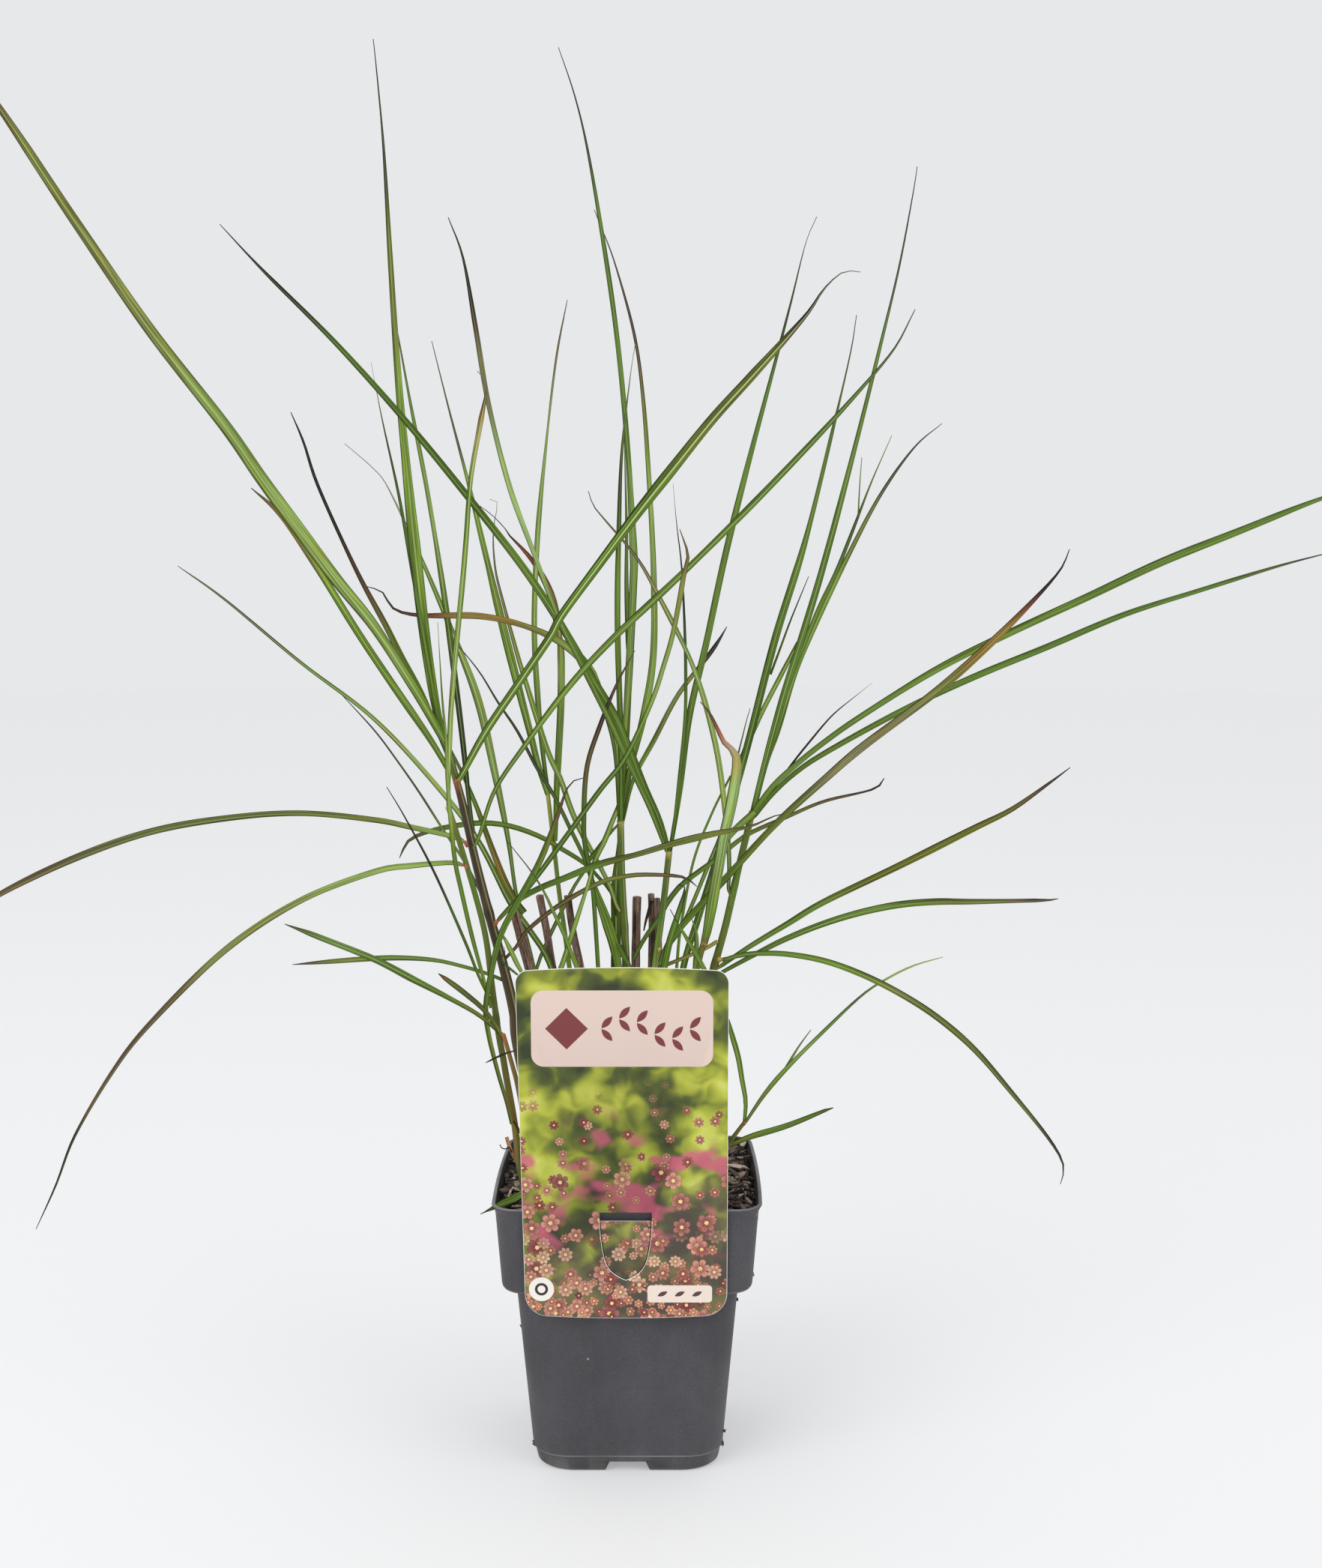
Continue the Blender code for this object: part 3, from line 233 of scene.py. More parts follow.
# Long blades: course from base to tip, depth at base and tip, width (one value, or stops along the blade),
# roll at base and tip where it isn't the usual one (degrees), how pale the midrib is, and tints along it.
LEAVES = {
    "leaf_01": dict(
        course=[(596, 994), (575, 957), (550, 915), (500, 837), (450, 775), (400, 708), (350, 640),
            (300, 568), (200, 440), (100, 295), (0, 145), (-75, 45)],
        depth=(-16, -70), roll=(8, 25), rib=0.5,
        width=[(0, 3.2), (0.1, 3.7), (0.2, 4.8), (0.3, 5.4), (0.45, 5.1), (0.6, 4.6), (0.7, 4.2),
            (0.85, 3.5), (0.93, 2.2), (1, 0.35)],
        tint=[(0, "mid"), (0.06, "bright"), (0.13, "light"), (0.5, "light"), (0.62, "moss"), (0.85, "moss"),
            (0.93, "brown"), (1, "purple")]),
    "leaf_02": dict(
        course=[(602, 1034), (575, 988), (525, 915), (475, 840), (425, 760), (375, 688), (335, 651)],
        depth=(-19, 20), roll=(10, 35), rib=0.3,
        width=[(0, 2), (0.2, 3.1), (0.55, 3.2), (0.75, 3), (0.9, 2.2), (0.96, 1.2), (1, 0.35)],
        tint=[(0, "mid"), (0.6, "bright"), (0.85, "bronze"), (1, "black")]),
    "leaf_03": dict(
        course=[(818, 1583), (765, 1400), (735, 1290), (706, 1240), (680, 1203), (640, 1125), (590, 1057),
            (500, 960), (400, 883), (300, 800), (237, 755)],
        depth=(-3, 112), roll=(10, 45), rib=1,
        width=[(0, 2), (0.3, 2.7), (0.5, 2.4), (0.65, 2.1), (0.75, 1.8), (0.85, 1.6), (0.92, 1.3),
            (0.97, 0.9), (1, 0.3)],
        tint=[(0, "deep"), (0.4, "mid"), (0.5, "light"), (0.6, "light"), (0.7, "mid"), (0.76, "deep"),
            (0.85, "dark"), (0.95, "dark"), (1, "black")]),
    "leaf_04": dict(
        course=[(655, 1345), (645, 1305), (630, 1250), (616, 1190), (606, 1140), (597, 1040), (595, 985),
            (590, 930), (584, 830)],
        depth=(-20.5, -45), width=1.9, roll=(10, 10), rib=0.2,
        tint=[(0, "bright"), (0.42, "mid"), (0.52, "light"), (0.7, "light"), (0.8, "deep"), (0.9, "deep"),
            (1, "dark")]),
    "leaf_05": dict(
        course=[(616, 1121), (600, 1115), (550, 1104), (500, 1094), (400, 1085), (300, 1092), (200, 1110),
            (100, 1145), (0, 1193), (-60, 1236), (-135, 1297)],
        depth=(-13, -10), roll=(35, 60), rib=0.3,
        width=[(0, 2.2), (0.1, 2.7), (0.25, 2.9), (0.4, 3.5), (0.5, 4.1), (0.6, 4.6), (0.72, 4.9),
            (0.78, 4.1), (0.9, 2.4), (1, 0.35)],
        tint=[(0, "light"), (0.08, "light"), (0.15, "olive"), (0.3, "bog"), (0.55, "bog"), (0.75, "brown"),
            (1, "purple")]),
    "leaf_06": dict(
        course=[(614, 1153), (600, 1151), (550, 1155), (500, 1163), (400, 1202), (300, 1268), (200, 1366),
            (150, 1430), (100, 1515), (75, 1580), (48, 1640)],
        depth=(-22, -50), roll=(35, 55), rib=0.3,
        width=[(0, 2), (0.1, 2.8), (0.25, 3.1), (0.4, 3.6), (0.5, 3.9), (0.6, 3.3), (0.72, 2.8), (0.85, 2),
            (0.94, 1.4), (1, 0.35)],
        tint=[(0, "bright"), (0.1, "light"), (0.24, "light"), (0.33, "moss"), (0.47, "moss"),
            (0.54, "brown"), (0.66, "umber"), (0.78, "brown"), (0.84, "black"), (1, "black")]),
    "leaf_07": dict(
        course=[(822, 1215), (815, 1190), (800, 1172), (780, 1152), (750, 1133), (720, 1116), (680, 1102),
            (640, 1098), (600, 1103), (570, 1110), (545, 1122), (533, 1145)],
        depth=(2, -3), roll=(20, 40), rib=0.2,
        width=[(0, 1.4), (0.15, 1.5), (0.28, 2), (0.5, 2.4), (0.65, 2.6), (0.78, 2.6), (0.9, 1.9),
            (0.97, 1.2), (1, 0.35)],
        tint=[(0, "mid"), (0.8, "mid"), (0.92, "brown"), (1, "black")]),
    "leaf_08": dict(
        course=[(595, 990), (583, 950), (567, 850), (550, 700), (540, 600), (531, 500), (521, 350),
            (512, 200), (503, 100), (498, 52)],
        depth=(-12, 40), roll=(5, 20), rib=0.3,
        width=[(0, 2.8), (0.08, 4), (0.2, 4.8), (0.26, 5.1), (0.33, 4.3), (0.42, 3.4), (0.54, 2.8),
            (0.7, 2.1), (0.78, 1.6), (0.88, 0.8), (1, 0.35)],
        tint=[(0, "bright"), (0.5, "bright"), (0.58, "olive"), (0.7, "olive"), (0.78, "dark"),
            (1, "black")]),
    "leaf_09": dict(
        course=[(751, 1566), (735, 1400), (712, 1290), (690, 1200), (678, 1120), (660, 1030), (638, 935),
            (606, 850), (564, 750), (520, 655), (500, 627), (460, 592)],
        depth=(18, 90), roll=(10, 25), rib=0.8,
        width=[(0, 1.8), (0.385, 1.8), (0.44, 2.5), (0.49, 3.2), (0.55, 3.7), (0.615, 3.7), (0.67, 2.9),
            (0.81, 1.8), (0.87, 1.0), (0.92, 0.5), (1, 0.3)],
        tint=[(0, "mid"), (0.4, "mid"), (0.5, "light"), (0.65, "light"), (0.75, "mid"), (0.85, "grey"),
            (0.92, "ash"), (1, "ash")]),
    "leaf_10": dict(
        course=[(632, 1112), (626, 1070), (617, 985), (604, 880), (592, 790), (571, 660), (548, 540),
            (528, 430)],
        depth=(-10.2, 60), rib=0.5,
        width=[(0, 1.5), (0.15, 2.3), (0.35, 2.6), (0.47, 2.4), (0.55, 1.9), (0.68, 2), (0.75, 1.8),
            (0.85, 1.1), (0.93, 0.8), (1, 0.3)],
        tint=[(0, "deep"), (0.1, "dark"), (0.25, "dark"), (0.4, "mid"), (0.55, "light"), (0.8, "mid"),
            (1, "dark")]),
    "leaf_11": dict(
        course=[(731, 1060), (718, 1020), (708, 980), (695, 930), (672, 840), (648, 740), (625, 645),
            (600, 550), (576, 455)],
        depth=(13, 35), roll=(5, 25), rib=0.6,
        width=[(0, 2.2), (0.15, 3.1), (0.3, 3.6), (0.42, 3.4), (0.5, 2.6), (0.57, 2.5), (0.72, 1.4),
            (0.8, 1), (0.9, 0.6), (1, 0.3)],
        tint=[(0, "bright"), (0.7, "bright"), (0.75, "dark"), (0.9, "dark"), (1, "black")]),
    "leaf_12": dict(
        course=[(598, 1075), (600, 990), (603, 930), (610, 850), (617, 780), (622, 720), (628, 640),
            (640, 570), (649, 515), (637, 495)],
        depth=(-22, -55), rib=0.9,
        width=[(0, 1.5), (0.15, 2.2), (0.5, 2.3), (0.75, 2.0), (0.83, 2.1), (0.89, 2.3), (0.93, 1.3),
            (0.955, 0.5), (1, 0.3)],
        tint=[(0, "light"), (0.4, "light"), (0.6, "bright"), (0.7, "mid"), (0.76, "light"), (0.85, "khaki"),
            (0.9, "bronze"), (0.94, "purple"), (1, "ash")]),
    "leaf_13": dict(
        course=[(890, 1136), (868, 1080), (845, 1030), (815, 965), (790, 915), (770, 875), (748, 830),
            (715, 745), (680, 650), (652, 540), (635, 440), (618, 345), (598, 290)],
        depth=(-11.8, -60), roll=(5, 25), rib=0.3,
        width=[(0, 1.7), (0.15, 2.5), (0.4, 2.2), (0.48, 1.8), (0.58, 2.3), (0.7, 2), (0.8, 2.2), (0.86, 2),
            (0.93, 1.1), (1, 0.35)],
        tint=[(0, "deep"), (0.3, "mid"), (0.42, "grey"), (0.48, "pale"), (0.65, "pale"), (0.74, "dun"),
            (0.8, "dun"), (0.84, "umber"), (0.89, "black"), (1, "black")]),
    "leaf_14": dict(
        course=[(892, 1136), (880, 1095), (860, 1050), (840, 1000), (820, 955), (790, 905), (760, 853),
            (735, 812), (700, 760), (650, 695), (550, 572), (450, 460), (350, 360), (293, 299)],
        depth=(-10.2, -15), roll=(5, 35), rib=0.3,
        width=[(0, 2.3), (0.2, 3.6), (0.45, 3.2), (0.6, 3), (0.75, 2.5), (0.85, 2.1), (0.9, 1.8),
            (0.95, 0.9), (1, 0.3)],
        tint=[(0, "deep"), (0.2, "mid"), (0.45, "mid"), (0.52, "pine"), (0.77, "pine"), (0.84, "dark"),
            (0.89, "black"), (1, "black")]),
    "leaf_15": dict(
        course=[(828, 1096), (824, 1010), (815, 965), (800, 925), (785, 890), (750, 858), (700, 835),
            (640, 822), (560, 821), (525, 812), (510, 790), (487, 782)],
        depth=(-1.2, 2), roll=(5, 45), rib=0.2,
        width=[(0, 2.5), (0.2, 3.6), (0.45, 3.8), (0.57, 2.6), (0.68, 3.1), (0.73, 3.4), (0.8, 2.8),
            (0.9, 1.3), (1, 0.35)],
        tint=[(0, "mid"), (0.2, "light"), (0.44, "light"), (0.54, "moss"), (0.62, "bronze"),
            (0.75, "bronze"), (0.81, "rust"), (0.88, "purple"), (1, "black")]),
    "leaf_16": dict(
        course=[(741, 1122), (743, 1050), (748, 950), (749, 900), (748, 862), (744, 835), (737, 800),
            (727, 775), (712, 750), (695, 730), (681, 716), (672, 703), (655, 686), (640, 675)],
        depth=(11.4, 45), roll=(5, 40), rib=0.2,
        width=[(0, 1.8), (0.2, 3.0), (0.5, 3.4), (0.55, 2.6), (0.63, 4.1), (0.7, 3.5), (0.8, 2.2),
            (0.87, 1.0), (0.9, 0.5), (1, 0.35)],
        tint=[(0, "mid"), (0.2, "bright"), (0.46, "light"), (0.54, "moss"), (0.62, "bronze"),
            (0.72, "rust"), (0.82, "rust"), (0.87, "black"), (1, "purple")]),
    "leaf_17": dict(
        course=[(732, 1060), (725, 1010), (719, 950), (713, 840), (717, 720), (728, 600), (742, 480),
            (757, 400)],
        depth=(14.8, 75), rib=0.5,
        width=[(0, 1.6), (0.2, 2.6), (0.4, 2.4), (0.53, 2.4), (0.62, 1.7), (0.72, 1), (0.8, 1.1), (0.9, 1),
            (0.96, 0.6), (1, 0.3)],
        tint=[(0, "mid"), (0.5, "light"), (0.75, "grey"), (0.9, "brown"), (1, "black")]),
    "leaf_18": dict(
        course=[(822, 1207), (815, 1185), (800, 1155), (778, 1115), (762, 1080), (748, 1040), (730, 1000),
            (703, 915), (688, 865), (668, 791), (661, 760), (658, 722), (660, 694), (664, 674), (660, 666),
            (653, 666)],
        depth=(0, 25), width=2.4, roll=(5, 25), rib=0.9,
        tint=[(0, "light"), (0.5, "bright"), (0.65, "olive"), (0.78, "brown"), (0.88, "purple"),
            (0.95, "umber"), (1, "ash")]),
    "leaf_19": dict(
        course=[(616, 1034), (640, 990), (660, 958), (700, 900), (735, 848), (750, 820), (800, 752),
            (850, 685), (900, 622), (950, 560), (1000, 505), (1050, 450), (1080, 415), (1100, 385),
            (1125, 363), (1148, 363)],
        depth=(-17, -110), roll=(8, 30), rib=1,
        width=[(0, 2.6), (0.1, 3.3), (0.35, 3.6), (0.45, 4), (0.57, 4.9), (0.66, 4.4), (0.78, 3.9),
            (0.85, 2.8), (0.9, 1.6), (0.95, 0.6), (1, 0.3)],
        tint=[(0, "mid"), (0.55, "mid"), (0.66, "olive"), (0.82, "olive"), (0.87, "umber"), (0.9, "black"),
            (0.96, "black"), (1, "ash")]),
    "leaf_20": dict(
        course=[(640, 1114), (660, 1055), (700, 995), (760, 915), (820, 850), (900, 775), (980, 697),
            (1060, 615), (1130, 540), (1190, 470), (1215, 425), (1221, 413)],
        depth=(-16.5, -100), roll=(8, 30), rib=0.6,
        width=[(0, 1.6), (0.12, 1.9), (0.25, 2.6), (0.45, 3.1), (0.55, 2.5), (0.65, 2.9), (0.78, 2.4),
            (0.85, 1.8), (0.92, 1.1), (1, 0.3)],
        tint=[(0, "mid"), (0.6, "mid"), (0.85, "deep"), (0.95, "dark"), (1, "black")]),
    "leaf_21": dict(
        course=[(672, 1234), (690, 1205), (720, 1165), (760, 1110), (800, 1055), (835, 1010), (870, 935),
            (885, 890), (897, 850), (906, 805), (913, 765), (918, 740), (907, 706)],
        depth=(-16.5, -60), roll=(5, 20), rib=0.5,
        width=[(0, 1.4), (0.2, 2.3), (0.4, 2.2), (0.62, 2), (0.75, 2.1), (0.88, 2.2), (0.93, 1.5),
            (0.97, 0.7), (1, 0.3)],
        tint=[(0, "deep"), (0.15, "pine"), (0.46, "pine"), (0.56, "mid"), (0.63, "light"), (0.74, "light"),
            (0.8, "moss"), (0.87, "moss"), (0.92, "brown"), (1, "brown")]),
    "leaf_22": dict(
        course=[(683, 1500), (676, 1470), (667, 1440), (659, 1410), (652, 1380), (648, 1345), (655, 1300),
            (668, 1248), (690, 1205), (720, 1150), (742, 1094), (751, 1067), (755, 1056), (760, 1047),
            (767, 1041), (778, 1038)],
        depth=(-20, -38), rib=0.1,
        width=[(0, 1.5), (0.35, 2.3), (0.6, 2.7), (0.78, 2.6), (0.87, 1.9), (0.94, 0.8), (1, 0.35)],
        tint=[(0, "olive"), (0.4, "mid"), (0.7, "deep"), (0.8, "olive"), (0.88, "brown"), (1, "purple")]),
    "leaf_23": dict(
        course=[(818, 1590), (805, 1400), (795, 1240), (790, 1175), (781, 1130), (779, 1095), (783, 1025),
            (800, 970), (822, 915), (847, 868)],
        depth=(-8, -14), roll=(5, 20), rib=0.2,
        width=[(0, 1.4), (0.45, 1.9), (0.7, 2.3), (0.85, 2.1), (0.93, 1.2), (1, 0.35)],
        tint=[(0, "mid"), (0.6, "deep"), (0.7, "deep"), (0.76, "brown"), (0.86, "purple"), (1, "brown")]),
    "leaf_24": dict(
        course=[(829, 1096), (830, 1050), (838, 920), (845, 780), (845, 730), (836, 580), (822, 440),
            (803, 310), (783, 195), (766, 125), (745, 63)],
        depth=(0, 20), roll=(3, 15), rib=0.3,
        width=[(0, 2), (0.2, 3.3), (0.35, 3.4), (0.43, 2.4), (0.55, 2.2), (0.7, 2.1), (0.8, 1.6),
            (0.9, 0.8), (1, 0.3)],
        tint=[(0, "bright"), (0.15, "light"), (0.3, "grey"), (0.5, "mid"), (0.6, "deep"), (0.75, "deep"),
            (0.85, "dark"), (0.92, "black"), (1, "black")]),
    "leaf_25": dict(
        course=[(829, 1096), (828, 980), (824, 830), (826, 700), (830, 600), (842, 495), (848, 458)],
        depth=(-2.4, -30), width=2.5, roll=(3, 15), rib=0.3,
        tint=[(0, "deep"), (0.5, "mid"), (0.7, "dark"), (1, "grey")]),
    "leaf_26": dict(
        course=[(829, 1096), (840, 1030), (860, 950), (872, 870), (872, 760), (866, 640), (858, 530),
            (846, 445), (820, 350), (800, 298), (793, 280)],
        depth=(1.2, 60), roll=(3, 15), rib=0.4,
        width=[(0, 1.9), (0.18, 3.2), (0.3, 2.8), (0.45, 2.3), (0.6, 2), (0.7, 1.6), (0.82, 1.2),
            (0.92, 0.6), (1, 0.3)],
        tint=[(0, "mid"), (0.15, "bright"), (0.3, "light"), (0.5, "light"), (0.57, "bright"),
            (0.64, "olive"), (0.7, "brown"), (0.77, "purple"), (0.9, "purple"), (1, "black")]),
    "leaf_27": dict(
        course=[(894, 1136), (908, 1050), (920, 955), (942, 860), (968, 740), (998, 620), (1030, 500),
            (1055, 405), (1075, 325), (1090, 289)],
        depth=(-8.8, 50), width=2.8, roll=(3, 20), rib=0.2,
        tint=[(0, "mid"), (0.5, "mid"), (0.7, "deep"), (0.8, "dark"), (0.9, "dark"), (1, "black")]),
    "leaf_28": dict(
        course=[(972, 1187), (973, 1150), (969, 1095), (955, 995), (925, 890), (875, 788), (848, 742),
            (810, 697), (792, 675), (785, 655)],
        depth=(-16, -5), roll=(5, 25), rib=0.8,
        width=[(0, 1.5), (0.2, 2.4), (0.45, 2.4), (0.57, 1.8), (0.65, 2.3), (0.78, 1.5), (0.9, 0.9),
            (1, 0.3)],
        tint=[(0, "mid"), (0.1, "light"), (0.45, "light"), (0.6, "grey"), (0.7, "moss"), (0.79, "brown"),
            (0.9, "umber"), (1, "purple")]),
    "leaf_29": dict(
        course=[(831, 1096), (845, 1040), (873, 987), (905, 927), (945, 875), (960, 853), (970, 836)],
        depth=(2.4, 75), roll=(3, 25), rib=0.2,
        width=[(0, 1.5), (0.3, 2.2), (0.75, 2.2), (0.86, 2.3), (0.94, 1.2), (1, 0.35)],
        tint=[(0, "bright"), (0.28, "bright"), (0.36, "olive"), (0.5, "moss"), (0.66, "moss"),
            (0.74, "brown"), (0.79, "purple"), (0.83, "black"), (1, "black")]),
    "leaf_30": dict(
        course=[(940, 1256), (944, 1240), (951, 1200), (958, 1160), (965, 1120), (972, 1090), (978, 1060),
            (982, 1035), (983, 1015), (979, 1002), (967, 992), (956, 970), (946, 950), (934, 936)],
        depth=(-24, -35), roll=(5, 30), rib=0.3,
        width=[(0, 2.4), (0.05, 3.4), (0.17, 4.7), (0.5, 4.7), (0.62, 5.2), (0.71, 4.5), (0.755, 3.8),
            (0.79, 2.4), (0.88, 1.9), (0.945, 1.1), (1, 0.35)],
        tint=[(0, "rust"), (0.04, "mid"), (0.16, "bright"), (0.28, "light"), (0.4, "pale"), (0.65, "pale"),
            (0.71, "khaki"), (0.75, "khaki"), (0.79, "weathered"), (0.84, "red"), (0.89, "rust"),
            (0.94, "purple"), (1, "rust")]),
    "leaf_31": dict(
        course=[(1004, 1084), (1020, 1022), (1045, 930), (1070, 850), (1100, 750), (1140, 600), (1175, 460),
            (1200, 355), (1218, 260), (1224, 222)],
        depth=(-15.4, 20), roll=(3, 15), rib=0.4,
        width=[(0, 2.1), (0.1, 3), (0.3, 2.9), (0.45, 2.6), (0.55, 2), (0.7, 1.6), (0.8, 1), (0.9, 0.7),
            (1, 0.3)],
        tint=[(0, "mid"), (0.25, "deep"), (0.4, "deep"), (0.6, "mid"), (0.7, "deep"), (0.8, "dark"),
            (0.9, "black"), (1, "black")]),
    "leaf_32": dict(
        course=[(872, 1588), (892, 1400), (912, 1290), (930, 1230), (955, 1150), (970, 1095), (1000, 985),
            (1035, 850), (1075, 720), (1112, 570), (1135, 470), (1143, 420)],
        depth=(-5, 60), roll=(3, 15), rib=0.3,
        width=[(0, 2), (0.25, 2.8), (0.5, 3.2), (0.62, 3.3), (0.69, 3.2), (0.75, 2.1), (0.85, 1.7),
            (0.9, 0.9), (1, 0.3)],
        tint=[(0, "mid"), (0.5, "deep"), (0.8, "mid"), (0.95, "dark"), (1, "black")]),
    "leaf_33": dict(
        course=[(1006, 1084), (1022, 1020), (1038, 975), (1060, 900), (1085, 840), (1130, 745), (1175, 660),
            (1220, 597), (1257, 565)],
        depth=(-14.2, 90), roll=(3, 25), rib=0.5,
        width=[(0, 1.6), (0.2, 2.3), (0.5, 2.3), (0.65, 2), (0.78, 1.5), (0.88, 1), (1, 0.3)],
        tint=[(0, "mid"), (0.5, "bright"), (0.6, "olive"), (0.7, "bog"), (0.77, "dark"), (0.83, "black"),
            (1, "black")]),
    "leaf_34": dict(
        course=[(871, 1574), (878, 1400), (880, 1290), (905, 1245), (920, 1215), (945, 1155), (965, 1105),
            (985, 1025), (1012, 960), (1040, 905), (1053, 880), (1065, 857)],
        depth=(8, 60), roll=(3, 20), rib=0.7,
        width=[(0, 1.5), (0.5, 1.8), (0.8, 2.3), (0.93, 2.3), (1, 1.8)],
        tint=[(0, "bright"), (0.6, "mid"), (0.9, "bright"), (1, "mid")]),
    "leaf_35": dict(
        course=[(1005, 1084), (1030, 1050), (1060, 1022), (1100, 990), (1150, 955), (1250, 893),
            (1350, 843), (1450, 797), (1550, 750), (1650, 710), (1764, 665), (1850, 640)],
        depth=(-17.8, -60), roll=(8, 50), rib=0.2,
        width=[(0, 2), (0.1, 2.3), (0.28, 2.5), (0.38, 3.1), (0.5, 3.3), (0.6, 3.5), (0.73, 3.9),
            (0.85, 3.3), (0.92, 2), (1, 0.35)],
        tint=[(0, "mid"), (0.4, "mid"), (0.7, "mid"), (0.9, "deep"), (1, "brown")]),
    "leaf_36": dict(
        course=[(1008, 1087), (1030, 1060), (1060, 1032), (1100, 1005), (1200, 950), (1300, 903),
            (1400, 862), (1500, 820), (1600, 788), (1700, 757), (1764, 740), (1785, 736)],
        depth=(-16.4, 40), roll=(8, 50), rib=0.2,
        width=[(0, 1.9), (0.15, 2.3), (0.4, 3), (0.55, 3), (0.7, 2.6), (0.82, 2.4), (0.9, 1.5), (1, 0.35)],
        tint=[(0, "mid"), (0.3, "mid"), (0.6, "deep"), (0.8, "deep"), (0.87, "bog"), (0.93, "dark"),
            (1, "dark")]),
    "leaf_37": dict(
        course=[(882, 1283), (890, 1262), (910, 1235), (940, 1202), (970, 1170), (1020, 1115), (1050, 1085),
            (1100, 1040), (1150, 997), (1250, 922), (1320, 860), (1380, 800), (1415, 760), (1427, 733)],
        depth=(-15, -90), roll=(5, 35), rib=0.1,
        width=[(0, 2.2), (0.15, 3), (0.3, 2.6), (0.42, 3.1), (0.5, 3.5), (0.6, 3.2), (0.72, 3.6),
            (0.8, 3.2), (0.88, 2.2), (0.95, 1), (1, 0.35)],
        tint=[(0, "mid"), (0.15, "mid"), (0.36, "olive"), (0.44, "dun"), (0.6, "dun"), (0.68, "moss"),
            (0.76, "bronze"), (0.84, "bronze"), (0.88, "rust"), (0.92, "black"), (1, "black")]),
    "leaf_38": dict(
        course=[(845, 1280), (860, 1252), (877, 1228), (890, 1205), (905, 1185), (920, 1172), (950, 1150),
            (975, 1130), (1000, 1112), (1050, 1090), (1100, 1069), (1165, 1053), (1180, 1038)],
        depth=(0, 20), roll=(5, 35), rib=0.2,
        width=[(0, 1.6), (0.2, 2.4), (0.6, 1.9), (0.85, 1.4), (0.93, 0.9), (0.96, 1.3), (1, 0.35)],
        tint=[(0, "deep"), (0.4, "mid"), (0.6, "bog"), (0.7, "olive"), (0.77, "brown"), (0.86, "brown"),
            (0.9, "purple"), (1, "black")]),
    "leaf_39": dict(
        course=[(963, 1288), (1000, 1263), (1050, 1233), (1100, 1203), (1200, 1155), (1300, 1105),
            (1350, 1080), (1400, 1045), (1428, 1024)],
        depth=(-17, -50), roll=(10, 50), rib=0.2,
        width=[(0, 1.7), (0.1, 2.1), (0.25, 2.6), (0.5, 3), (0.62, 3.3), (0.75, 2.9), (0.85, 2.3),
            (0.93, 1.5), (1, 0.35)],
        tint=[(0, "mid"), (0.3, "mid"), (0.42, "brass"), (0.8, "brass"), (0.87, "brown"), (0.93, "purple"),
            (1, "black")]),
    "leaf_40": dict(
        course=[(962, 1298), (1010, 1272), (1050, 1252), (1100, 1232), (1150, 1217), (1200, 1207),
            (1250, 1203), (1300, 1203), (1397, 1201), (1412, 1199)],
        depth=(-14.5, 30), roll=(10, 50), rib=0.4,
        width=[(0, 1.5), (0.17, 2.3), (0.35, 2.8), (0.5, 3.2), (0.65, 3.3), (0.75, 2.8), (0.85, 2.3),
            (0.93, 2.2), (0.97, 1.3), (1, 0.35)],
        tint=[(0, "mid"), (0.55, "mid"), (0.68, "brass"), (0.76, "olive"), (0.82, "bog"), (0.88, "brown"),
            (0.93, "purple"), (1, "black")]),
    "leaf_41": dict(
        course=[(965, 1281), (985, 1275), (1010, 1272), (1050, 1273), (1100, 1282), (1150, 1300),
            (1200, 1325), (1250, 1357), (1300, 1400), (1350, 1458), (1400, 1520), (1419, 1555),
            (1415, 1580)],
        depth=(-19.5, -60), roll=(10, 50), rib=0.3,
        width=[(0, 1.8), (0.2, 2.4), (0.4, 2.8), (0.6, 3), (0.75, 2.7), (0.88, 2.1), (0.95, 1.4),
            (1, 0.35)],
        tint=[(0, "mid"), (0.33, "mid"), (0.41, "moss"), (0.5, "bog"), (0.83, "bog"), (0.88, "purple"),
            (0.92, "black"), (1, "black")]),
    "leaf_42": dict(
        course=[(668, 1224), (690, 1202), (720, 1185), (750, 1173), (800, 1153), (850, 1140), (900, 1125),
            (950, 1113), (1000, 1103), (1030, 1090), (1045, 1086)],
        depth=(-12, -45), roll=(10, 45), rib=0.05,
        width=[(0, 1.7), (0.15, 2.5), (0.3, 2.8), (0.4, 3.1), (0.5, 2.4), (0.6, 2.8), (0.7, 3.5),
            (0.78, 2.8), (0.9, 1.2), (1, 0.35)],
        tint=[(0, "olive"), (0.1, "mid"), (0.38, "mid"), (0.45, "bog"), (0.62, "bog"), (0.7, "olive"),
            (0.78, "moss"), (0.85, "bog"), (0.93, "brown"), (1, "black")]),
}

# Where the foot of a blade closes on its stem: pixel, depth (mm) and the colour of its collar.
FEET = {
    "leaf_05": (621, 1125, -15, "red"),
    "leaf_06": (620, 1155, -22, "red"),
    "leaf_07": (824, 1226, 3, "mid"),
    "leaf_18": (827, 1216, -2.6, "straw"),
    "leaf_19": (608, 1045, -15.6, "red"),
    "leaf_20": (631, 1132, -14.8, "mid"),
    "leaf_28": (975, 1196, -17.6, "bronze"),
    "leaf_30": (938, 1268, -25.4, "olive"),
    "leaf_35": (1001, 1092, -17.4, "bronze"),
    "leaf_36": (1000, 1095, -17.6, "mid"),
    "leaf_39": (956, 1293, -17.4, "olive"),
    "leaf_40": (953, 1304, -17.2, "olive"),
    "leaf_41": (959, 1281, -18, "bronze"),
    "leaf_42": (661, 1232, -12.6, "red"),
}

